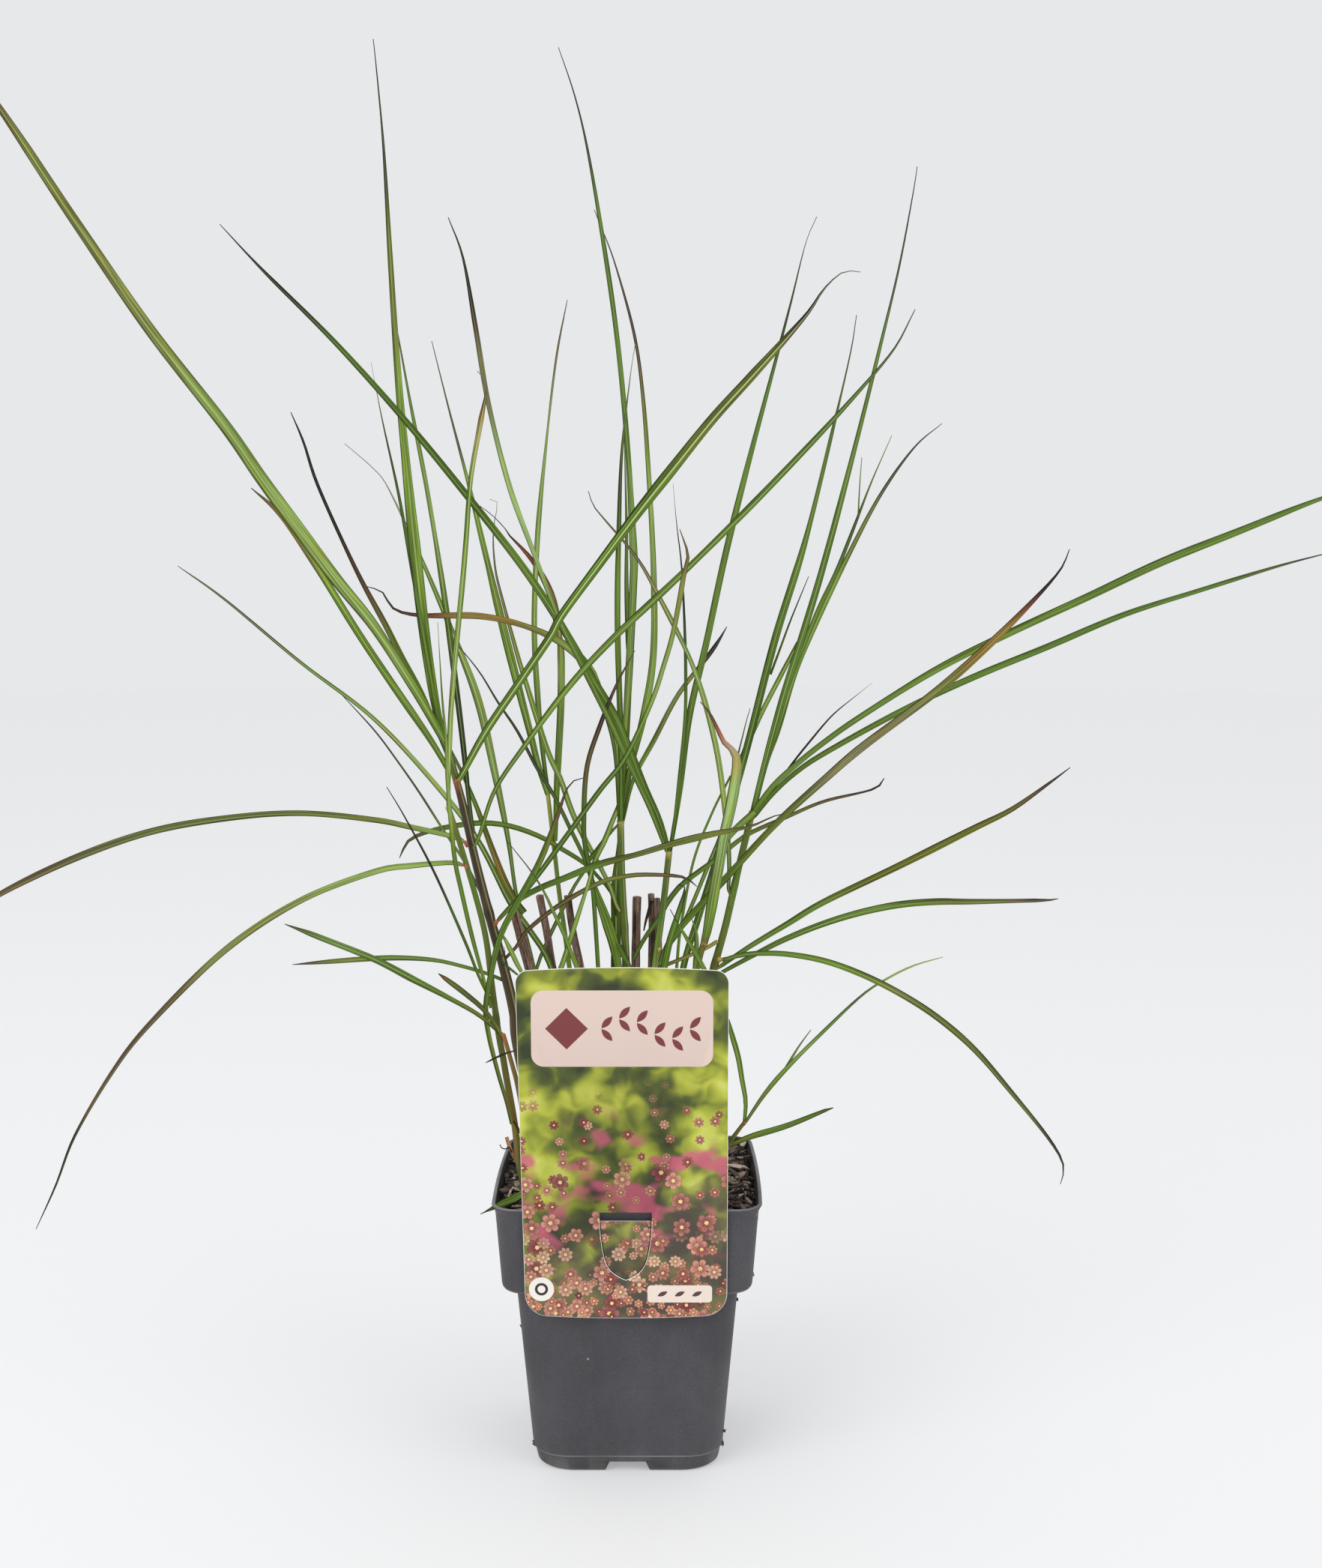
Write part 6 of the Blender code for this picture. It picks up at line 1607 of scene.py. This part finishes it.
def leaf_material():
    """Veined blade: streaks along it, a pale midrib, painted shade on its margins and beside the fold, and
    its own tints.
    """
    nodes = Nodes("leaf_blade")
    tint = nodes.attribute("tint")
    across = nodes.parts(nodes.uv("course"))[0]
    from_rib = nodes.math("MULTIPLY", nodes.away(across, 0.5), 2.0)
    streaks = nodes.fibres(5, 26, 2.0, 0.6)
    veins = nodes.fibres(13, 16, 1.0, 0.5)
    patches = nodes.fibres(1.2, 60, 2.0, 0.5)
    colour = nodes.times(tint["Color"], nodes.span(streaks, 0.34, 0.66, 0.66, 1.34))
    colour = nodes.times(colour, nodes.span(veins, 0.36, 0.64, 0.7, 1.3))
    warm = nodes.mix(1.0, colour, WARMTH, "MULTIPLY")
    colour = nodes.mix(nodes.span(patches, 0.42, 0.68), colour, warm)
    rib_share = nodes.math("MULTIPLY", nodes.span(from_rib, 0.2, 0.1), tint["Alpha"])
    pale = nodes.mix(0.62, colour, rgb("midrib"))
    colour = nodes.mix(rib_share, colour, pale)
    # Painted shade: a darker band beside the fold, for the shaded half of the keeled blade.
    crease = nodes.span(nodes.away(across, 0.37), 0.09, 0.02, 1.0, 0.74)
    colour = nodes.times(colour, crease)
    # Painted shade on the margins: a broad, patchy dark band along one edge and a thin one along the other,
    # for the blade's shaded edges.
    reach = nodes.span(patches, 0.3, 0.7, 0.16, 0.3)
    colour = nodes.times(colour, nodes.span(across, 0.02, reach, 0.16, 1.0))
    colour = nodes.times(colour, nodes.span(across, 0.88, 1.0, 1.0, 0.3))
    roughness = nodes.span(streaks, 0.3, 0.7, 0.56, 0.42)
    return nodes.finish(colour, roughness, (veins, 0.12 * MM, 0.6), specular=0.2)


def stem_material():
    """Smooth sheath with fine lengthwise lines, a pale line along the sheath's edge that is partly a painted
    highlight, painted shade on both flanks, and brown flecks.
    """
    nodes = Nodes("stem_sheath")
    tint = nodes.attribute("tint")
    across = nodes.parts(nodes.uv("course"))[0]
    lines = nodes.fibres(16, 20, 3.0, 0.6)
    flecks = nodes.fibres(5, 160, 3.0, 0.7)
    blotches = nodes.fibres(1.5, 45, 2.0, 0.5)
    colour = nodes.times(tint["Color"], nodes.span(lines, 0.3, 0.7, 0.68, 1.32))
    # The pale line along the sheath's edge is partly a painted highlight along the stem.
    from_edge = nodes.away(across, 0.26)
    sheath_edge_and_highlight = nodes.math("MULTIPLY", nodes.span(from_edge, 0.1, 0.03, 0.0, 0.75), tint["Alpha"])
    colour = nodes.mix(sheath_edge_and_highlight, colour, rgb("sheath_edge_and_highlight"))
    colour = nodes.mix(nodes.span(flecks, 0.6, 0.72, 0.0, 0.6), colour, rgb("fleck"))
    colour = nodes.mix(nodes.span(blotches, 0.5, 0.7, 0.0, 0.3), colour, rgb("blotch"))
    # Painted shade darkens both flanks of the stem.
    colour = nodes.times(colour, nodes.span(across, 0.8, 1.0, 1.0, 0.3))
    colour = nodes.times(colour, nodes.span(across, 0.0, 0.1, 0.45, 1.0))
    roughness = nodes.span(lines, 0.3, 0.7, 0.5, 0.38)
    return nodes.finish(colour, roughness, (lines, 0.1 * MM, 0.6), specular=0.25)


def collar_material():
    """Waxy swelling where a blade leaves the stem."""
    nodes = Nodes("leaf_collar")
    tint = nodes.attribute("tint")
    mottle = nodes.noise(nodes.position(), 900, 3.0, 0.6)
    rings = nodes.fibres(2, 1500, 2.0, 0.5)
    colour = nodes.times(tint["Color"], nodes.span(mottle, 0.3, 0.7, 0.75, 1.25))
    colour = nodes.times(colour, nodes.span(rings, 0.35, 0.65, 0.85, 1.12))
    roughness = nodes.span(mottle, 0.3, 0.7, 0.55, 0.38)
    return nodes.finish(colour, roughness, (mottle, 0.1 * MM, 0.6))


def cane_material():
    """Weathered dead cane: grey and brown fibres, dark furrows that are partly painted shade, and pits."""
    nodes = Nodes("old_cane")
    tint = nodes.attribute("tint")
    fibres = nodes.noise(nodes.position((1100, 1100, 90)), 1.0, 4.0, 0.7)
    patches = nodes.noise(nodes.position((120, 120, 50)), 1.0, 3.0, 0.6)
    pits = nodes.noise(nodes.position((1500, 1500, 420)), 1.0, 3.0, 0.7)
    colour = nodes.times(tint["Color"], nodes.span(fibres, 0.34, 0.66, 0.6, 1.35))
    colour = nodes.mix(nodes.span(patches, 0.46, 0.66, 0.0, 0.4), colour, rgb("cane_stain"))
    colour = nodes.times(colour, nodes.span(pits, 0.52, 0.64, 1.0, 0.4))
    roughness = nodes.span(fibres, 0.3, 0.7, 0.95, 0.78)
    return nodes.finish(colour, roughness, (fibres, 0.35 * MM, 0.9), specular=0.15)


def bark_material():
    """Shredded bark: dark, fibrous and dry."""
    nodes = Nodes("bark")
    tint = nodes.attribute("tint")
    fibres = nodes.fibres(14, 60, 4.0, 0.65)
    grit = nodes.noise(nodes.position(), 1400, 3.0, 0.6)
    colour = nodes.times(tint["Color"], nodes.span(fibres, 0.3, 0.7, 0.6, 1.4))
    colour = nodes.times(colour, nodes.span(grit, 0.3, 0.7, 0.8, 1.2))
    roughness = nodes.span(grit, 0.3, 0.7, 0.95, 0.8)
    return nodes.finish(colour, roughness, (fibres, 0.3 * MM, 0.8))


def soil_material():
    """The root ball between the bark: near-black crumbs, the soil's own dark colour and partly painted shade
    in the gaps between the splinters.
    """
    nodes = Nodes("root_ball")
    crumbs = nodes.noise(nodes.position(), 420, 5.0, 0.7)
    # Near-black: partly the soil's own colour, partly painted shade in the gaps between the splinters.
    colour = nodes.ramp(crumbs, [(0.3, "soil_dark"), (0.55, "soil"), (0.75, "soil_pale")])
    roughness = nodes.span(crumbs, 0.3, 0.7, 0.97, 0.85)
    return nodes.finish(colour, roughness, (crumbs, 1.2 * MM, 0.9))


# Pale edges of the pot, partly rubbed wear and partly painted highlight where the edges catch the light:
# height (mm), reach (mm) and strength.
WORN_AND_LIT_EDGES = ((7.2, 0.55, 0.75), (117.0, 0.5, 0.7), (81.2, 0.7, 0.3), (0.6, 0.9, 0.3))


def pot_material():
    """Matte grey plastic: moulded grain, pale specks, dust at the foot, and pale edges that are partly rubbed
    wear and partly painted highlight.
    """
    nodes = Nodes("pot_plastic")
    where = nodes.position()
    height = nodes.math("MULTIPLY", nodes.parts(where)[2], 1 / MM)
    grain = nodes.noise(where, 1500, 3.0, 0.65)
    cloud = nodes.noise(where, 24, 4.0, 0.6)
    streaks = nodes.noise(nodes.position((90, 90, 9)), 1.0, 3.0, 0.6)
    colour = nodes.ramp(cloud, [(0.3, "pot_dark"), (0.7, "pot")])
    colour = nodes.times(colour, nodes.span(grain, 0.3, 0.7, 0.86, 1.15))
    colour = nodes.times(colour, nodes.span(streaks, 0.3, 0.7, 0.96, 1.05))

    patchy = nodes.span(cloud, 0.35, 0.6, 0.5, 1.0)
    # Each edge is painted paler: partly rubbed wear, partly painted highlight.
    for middle, reach, strength in WORN_AND_LIT_EDGES:
        edge = nodes.span(nodes.away(height, middle), reach, reach * 0.4, 0.0, strength)
        colour = nodes.mix(nodes.math("MULTIPLY", edge, patchy), colour, rgb("worn_and_lit"))
    dust = nodes.math("MULTIPLY", nodes.span(height, 12, 0, 0.0, 0.5), nodes.span(streaks, 0.4, 0.65))
    colour = nodes.mix(dust, colour, rgb("dust"))
    speck = nodes.voronoi(where, 130)
    small = nodes.span(speck[0], 0.07, 0.04)
    chance = nodes.parts(speck[1])
    some = nodes.span(chance[0], 0.8, 0.84, 0.0, 0.75)
    colour = nodes.mix(nodes.math("MULTIPLY", small, some), colour, rgb("pale_speck"))
    few = nodes.span(chance[1], 0.9, 0.93, 0.0, 0.8)
    colour = nodes.mix(nodes.math("MULTIPLY", small, few), colour, rgb("dark_speck"))
    roughness = nodes.span(cloud, 0.3, 0.7, 0.62, 0.5)
    return nodes.finish(colour, roughness, (grain, 0.16 * MM, 0.6), specular=0.3)


def inner_pot_material():
    """The pot's inside: dark brownish clouds with grit, darker than the outside."""
    nodes = Nodes("pot_inside")
    where = nodes.position()
    cloud = nodes.noise(where, 260, 4.0, 0.65)
    grit = nodes.noise(where, 1800, 3.0, 0.6)
    colour = nodes.ramp(cloud, [(0.38, "inside_dark"), (0.62, "inside_mid"), (0.72, "inside_pale")])
    colour = nodes.times(colour, nodes.span(grit, 0.3, 0.7, 0.7, 1.3))
    roughness = nodes.span(cloud, 0.35, 0.65, 0.72, 0.9)
    return nodes.finish(colour, roughness, (grit, 0.2 * MM, 0.6))


class Print:
    """Flat shapes on the label's sheet, as masks. Places and sizes are millimetres."""

    def __init__(self, nodes):
        self.nodes, self.math, self.span = nodes, nodes.math, nodes.span
        self.sheet = nodes.uv("sheet")

    def away(self, x, z):
        """Distances across and up from a point."""
        parts = self.nodes.parts(self.sheet)
        return [self.math("SUBTRACT", parts[k], (x, z)[k]) for k in (0, 1)]

    def length(self, across, up):
        square = self.math("MULTIPLY_ADD", up, up, self.math("MULTIPLY", across, across))
        return self.math("SQRT", square)

    def disc(self, x, z, radius, soft=0.15):
        return self.span(self.length(*self.away(x, z)), radius + soft, radius)

    def panel(self, x, z, half_width, half_height, corner):
        """A rectangle with round corners."""
        past = []
        for offset, half in zip(self.away(x, z), (half_width, half_height)):
            over = self.math("SUBTRACT", self.math("ABSOLUTE", offset), half - corner)
            past.append(self.math("MAXIMUM", over, 0.0))
        return self.span(self.length(*past), corner + 0.15, corner)

    def diamond(self, x, z, half):
        across, up = (self.math("ABSOLUTE", offset) for offset in self.away(x, z))
        return self.span(self.math("ADD", across, up), half + 0.2, half)

    def leaf(self, x, z, length, lean):
        """A pointed oval, leaning by some degrees."""
        across, up = self.away(x, z)
        cosine, sine = math.cos(math.radians(lean)), math.sin(math.radians(lean))
        along = self.math("MULTIPLY_ADD", across, cosine, self.math("MULTIPLY", up, sine))
        aside = self.math("MULTIPLY_ADD", up, cosine, self.math("MULTIPLY", across, -sine))
        share = self.math("DIVIDE", along, length / 2)
        room = self.math("SUBTRACT", 1.0, self.math("MULTIPLY", share, share))
        over = self.math("SUBTRACT", self.math("ABSOLUTE", aside), self.math("MULTIPLY", room, length * 0.2))
        return self.span(over, 0.12, -0.05)

    def blossoms(self, spacing, petals, reach, keep, shift):
        """Round flowers strewn over the sheet: mask, share from middle to edge, crease, and chance."""
        nodes = self.nodes
        moved = nodes.scaled(self.sheet, (1 / spacing, 1 / spacing, 1), (shift, shift * 1.7, 0))
        cells = nodes.voronoi(moved, 1.0, 0.75, flat=True)
        parts = nodes.parts(nodes.add("VectorMath", [moved, cells[2]], operation="SUBTRACT")[0])
        angle = nodes.math("ARCTAN2", parts[1], parts[0])
        chance = nodes.parts(cells[1])
        turned = nodes.math("MULTIPLY_ADD", angle, float(petals), nodes.math("MULTIPLY", chance[1], 6.3))
        wave = nodes.math("ABSOLUTE", nodes.math("COSINE", nodes.math("MULTIPLY", turned, 0.5)))
        rim = nodes.math("MULTIPLY", nodes.math("MULTIPLY_ADD", nodes.math("POWER", wave, 0.5), 0.5, 0.5),
                         nodes.math("MULTIPLY_ADD", chance[1], 0.3 * reach, 0.7 * reach))
        share = nodes.math("DIVIDE", cells[0], rim)
        inside = nodes.span(share, 1.0, 0.94)
        kept = nodes.math("LESS_THAN", chance[2], keep)
        return nodes.math("MULTIPLY", inside, kept), share, wave, chance[0]


# Layers of blossoms: spacing (mm), petals, reach, share kept, shift, height that they thin out at (mm), and
# the palest and the deepest petals.
BLOSSOMS = ((6.0, 7, 0.42, 0.35, 2.3, 96, (214, 158, 132), (136, 62, 62)),
            (10.0, 6, 0.46, 0.42, 5.1, 70, (224, 160, 140), (112, 44, 52)),
            (7.5, 8, 0.5, 0.8, 9.4, 36, (236, 198, 164), (150, 66, 68)),
            (4.5, 6, 0.5, 0.7, 3.7, 20, (222, 150, 120), (98, 40, 48)))


# Blurred foliage behind the blossoms, from dark to pale.
FOLIAGE = ((0.4, (52, 60, 38)), (0.49, (84, 94, 42)), (0.56, (132, 140, 50)), (0.64, (176, 182, 66)),
           (0.74, (200, 204, 104)))

# The drawing on the label (mm), each part with its middle across and up: a panel and a plate by half sizes
# and corner radius, a diamond by half its size, leaves by length and lean (degrees), a badge by its discs.
PANEL = (0, 120, 36, 15.5, 5)
DIAMOND = (-22, 120, 8.4)
GARLAND_LEAVES = 6
GARLAND_START = -6
GARLAND_STEP = 7
GARLAND_WAVE = 4.2
GARLAND_LEAF = (6.4, 48)
BADGE = ((-33, 11, 5, "print_white"), (-33, 11, 2.6, "ink"), (-33, 11, 1.5, "print_white"))
PLATE = (23, 9, 13, 3.6, 1.4)
PLATE_LEAVES = ((16, 9, 4.4, 25), (23, 9, 4.4, 25), (30, 9, 4.4, 25))


def print_material():
    """The label's front: blurred foliage, strewn blossoms, a pale panel with a leaf garland and two marks."""
    nodes = Nodes("label_print")
    drawn = Print(nodes)
    sheet = drawn.sheet
    side, up = nodes.parts(sheet)[:2]
    foliage = nodes.noise(sheet, 0.042, 1.0, 0.4)
    leafy = nodes.noise(sheet, 0.13, 1.0, 0.4, 0.6)
    both = nodes.math("MULTIPLY_ADD", leafy, 0.3, nodes.math("MULTIPLY", foliage, 0.8))
    colour = nodes.ramp(both, FOLIAGE)
    lower_right = nodes.math("MULTIPLY_ADD", side, -0.5, nodes.math("MULTIPLY_ADD", leafy, 50.0, up))
    colour = nodes.mix(nodes.span(lower_right, 86, 46, 0.0, 0.82), colour, rgb("print_shade"))
    rosy = nodes.noise(nodes.scaled(sheet, (0.05, 0.07, 1), (3, 1, 0)), 1.0, 2.0, 0.5)
    band = nodes.math("MULTIPLY", nodes.span(up, 22, 36), nodes.span(up, 92, 70))
    patch = nodes.math("MULTIPLY", nodes.span(rosy, 0.52, 0.64, 0.0, 0.85), band)
    colour = nodes.mix(patch, colour, rgb("rose"))

    for spacing, petals, reach, keep, shift, top, cream, deep in BLOSSOMS:
        mask, share, wave, chance = drawn.blossoms(spacing, petals, reach, keep, shift)
        fades = nodes.span(nodes.math("MULTIPLY_ADD", leafy, 16.0, up), top + 12, top - 6)
        petal = nodes.mix(chance, rgb(cream), rgb(deep))
        petal = nodes.mix(nodes.span(share, 0.9, 0.25, 0.0, 0.6), petal, rgb("petal_root"))
        petal = nodes.times(petal, nodes.span(wave, 0.0, 0.5, 0.5, 1.1))
        petal = nodes.times(petal, nodes.span(share, 0.8, 0.97, 1.0, 0.45))
        petal = nodes.mix(nodes.span(share, 0.26, 0.18), petal, rgb("blossom_eye"))
        colour = nodes.mix(nodes.math("MULTIPLY", mask, fades), colour, petal)

    paper = nodes.noise(sheet, 4.0, 2.0, 0.6)
    pink = nodes.times(rgb("panel"), nodes.span(paper, 0.3, 0.7, 0.98, 1.02))
    colour = nodes.mix(drawn.panel(*PANEL), colour, pink)
    colour = nodes.mix(drawn.diamond(*DIAMOND), colour, rgb("maroon"))
    length, lean = GARLAND_LEAF
    for number in range(GARLAND_LEAVES):
        x = GARLAND_START + number * GARLAND_STEP
        z = PANEL[1] + GARLAND_WAVE * math.sin(number * 1.25)
        for turn in (-1, 1):
            colour = nodes.mix(drawn.leaf(x, z + turn * 2.6, length, turn * lean), colour, rgb("maroon"))
    for x, z, radius, name in BADGE:
        colour = nodes.mix(drawn.disc(x, z, radius), colour, rgb(name))
    colour = nodes.mix(drawn.panel(*PLATE), colour, rgb("plate"))
    for leaf in PLATE_LEAVES:
        colour = nodes.mix(drawn.leaf(*leaf), colour, rgb("plate_ink"))

    dots = nodes.noise(sheet, 5.0, 2.0, 0.7)
    colour = nodes.times(colour, nodes.span(dots, 0.3, 0.7, 0.84, 1.14))
    roughness = nodes.span(foliage, 0.3, 0.7, 0.46, 0.38)
    waves = nodes.noise(sheet, 0.05, 2.0, 0.5)
    return nodes.finish(colour, roughness, (waves, 0.6 * MM, 0.25), specular=0.25)


def card_material():
    """White plastic card: the label's back and cut edges."""
    nodes = Nodes("label_card")
    mottle = nodes.noise(nodes.position(), 300, 3.0, 0.6)
    colour = nodes.ramp(mottle, [(0.3, "card"), (0.7, "card_pale")])
    roughness = nodes.span(mottle, 0.3, 0.7, 0.5, 0.38)
    return nodes.finish(colour, roughness, (mottle, 0.1 * MM, 0.3))


def make_blades(material):
    """Long blades in place of their solids, and the young and small ones that are added."""
    for index, (name, blade) in enumerate(LEAVES.items()):
        surface = Surface()
        add_blade(surface, blade, index * BLADE_SEED_STEP, on_soil=True, foot=FEET.get(name))
        hand_in(surface.to_object(name + "_blade", material), name)
    for index, (name, blade) in enumerate({**YOUNG, **SMALL_LEAVES}.items(), FIRST_ADDED_BLADE):
        surface = Surface()
        add_blade(surface, blade, index * BLADE_SEED_STEP)
        hand_in(surface.to_object(name, material))


def make_stems(stem_look, cane_look, collar_look):
    """Stems and canes in place of their solids, the canes further back, and the collars."""
    for index, (name, stem) in enumerate(STEMS.items()):
        surface = Surface()
        add_stem(surface, stem, index * STEM_SEED_STEP)
        hand_in(surface.to_object(name + "_sheath", stem_look, 70), name)
    for index, (name, cane) in enumerate({**CANES, **BACK_CANES}.items()):
        surface = Surface()
        add_cane(surface, cane, index * CANE_SEED_STEP)
        hand_in(surface.to_object(name + "_bark", cane_look, 60), name if name in CANES else None)
    surface = Surface()
    for collar in COLLARS:
        add_collar(surface, collar)
    hand_in(surface.to_object("leaf_collars", collar_look, 60))


# The stage: floor, sky, and lamps with their places, sizes and powers.
FLOOR_RADIUS = 7
FLOOR_SIDES = 96
FLOOR_GREY = (0.56, 0.56, 0.56)
FLOOR_GLOW = (0.98, 0.99, 1.0)
FLOOR_GLOW_STRENGTH = 0.32
SKY = (0.975, 0.985, 1.0, 1)
SKY_STRENGTH = 0.82
LAMPS = (("key", (-1.3, -1.6, 1.6), 1.6, 22), ("fill", (1.6, -1.2, 1.0), 1.6, 10))
LAMP_AIM = (0, 0, 0.25)


def make_stage():
    """A plain pale floor and soft light all round."""
    floor_builder = bmesh.new()
    bmesh.ops.create_circle(floor_builder, cap_ends=True, segments=FLOOR_SIDES, radius=FLOOR_RADIUS)
    mesh = bpy.data.meshes.new("floor")
    floor_builder.to_mesh(mesh)
    floor_builder.free()
    floor = bpy.data.objects.new("floor", mesh)
    bpy.context.scene.collection.objects.link(floor)
    nodes = Nodes("floor")
    nodes.set(Base_Color=FLOOR_GREY, Roughness=0.9, Emission_Color=FLOOR_GLOW,
              Emission_Strength=FLOOR_GLOW_STRENGTH)
    mesh.materials.append(nodes.material)

    world = bpy.data.worlds.new("studio")
    bpy.context.scene.world = world
    world.use_nodes = True
    background = world.node_tree.nodes["Background"]
    background.inputs["Color"].default_value = SKY
    background.inputs["Strength"].default_value = SKY_STRENGTH
    for name, where, size, power in LAMPS:
        data = bpy.data.lights.new(name, "AREA")
        data.size = size
        data.energy = power
        lamp = bpy.data.objects.new(name, data)
        lamp.location = where
        lamp.rotation_euler = (Vector(LAMP_AIM) - lamp.location).to_track_quat("-Z", "Y").to_euler()
        bpy.context.scene.collection.objects.link(lamp)
    bpy.context.scene.view_settings.view_transform = "Standard"


def make_camera():
    """The camera of the photo's view."""
    data = bpy.data.cameras.new("camera")
    data.sensor_fit = "VERTICAL"
    data.sensor_height = SENSOR
    data.lens = SENSOR * VIEW_FOCAL / VIEW_PIXELS_HIGH
    camera = bpy.data.objects.new("camera", data)
    camera.location = (VIEW_SIDE, -VIEW_DISTANCE, VIEW_HEIGHT)
    camera.rotation_euler = (math.pi / 2 - VIEW_PITCH, 0, 0)
    bpy.context.scene.collection.objects.link(camera)
    bpy.context.scene.camera = camera


make_camera()
make_stage()
make_blades(leaf_material())
make_stems(stem_material(), cane_material(), collar_material())
BARK = bark_material()
make_mulch(BARK)
make_crumbs(BARK)
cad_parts["soil"].data.materials.clear()
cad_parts["soil"].data.materials.append(soil_material())
make_pot(pot_material(), inner_pot_material())
make_label(print_material(), card_material())
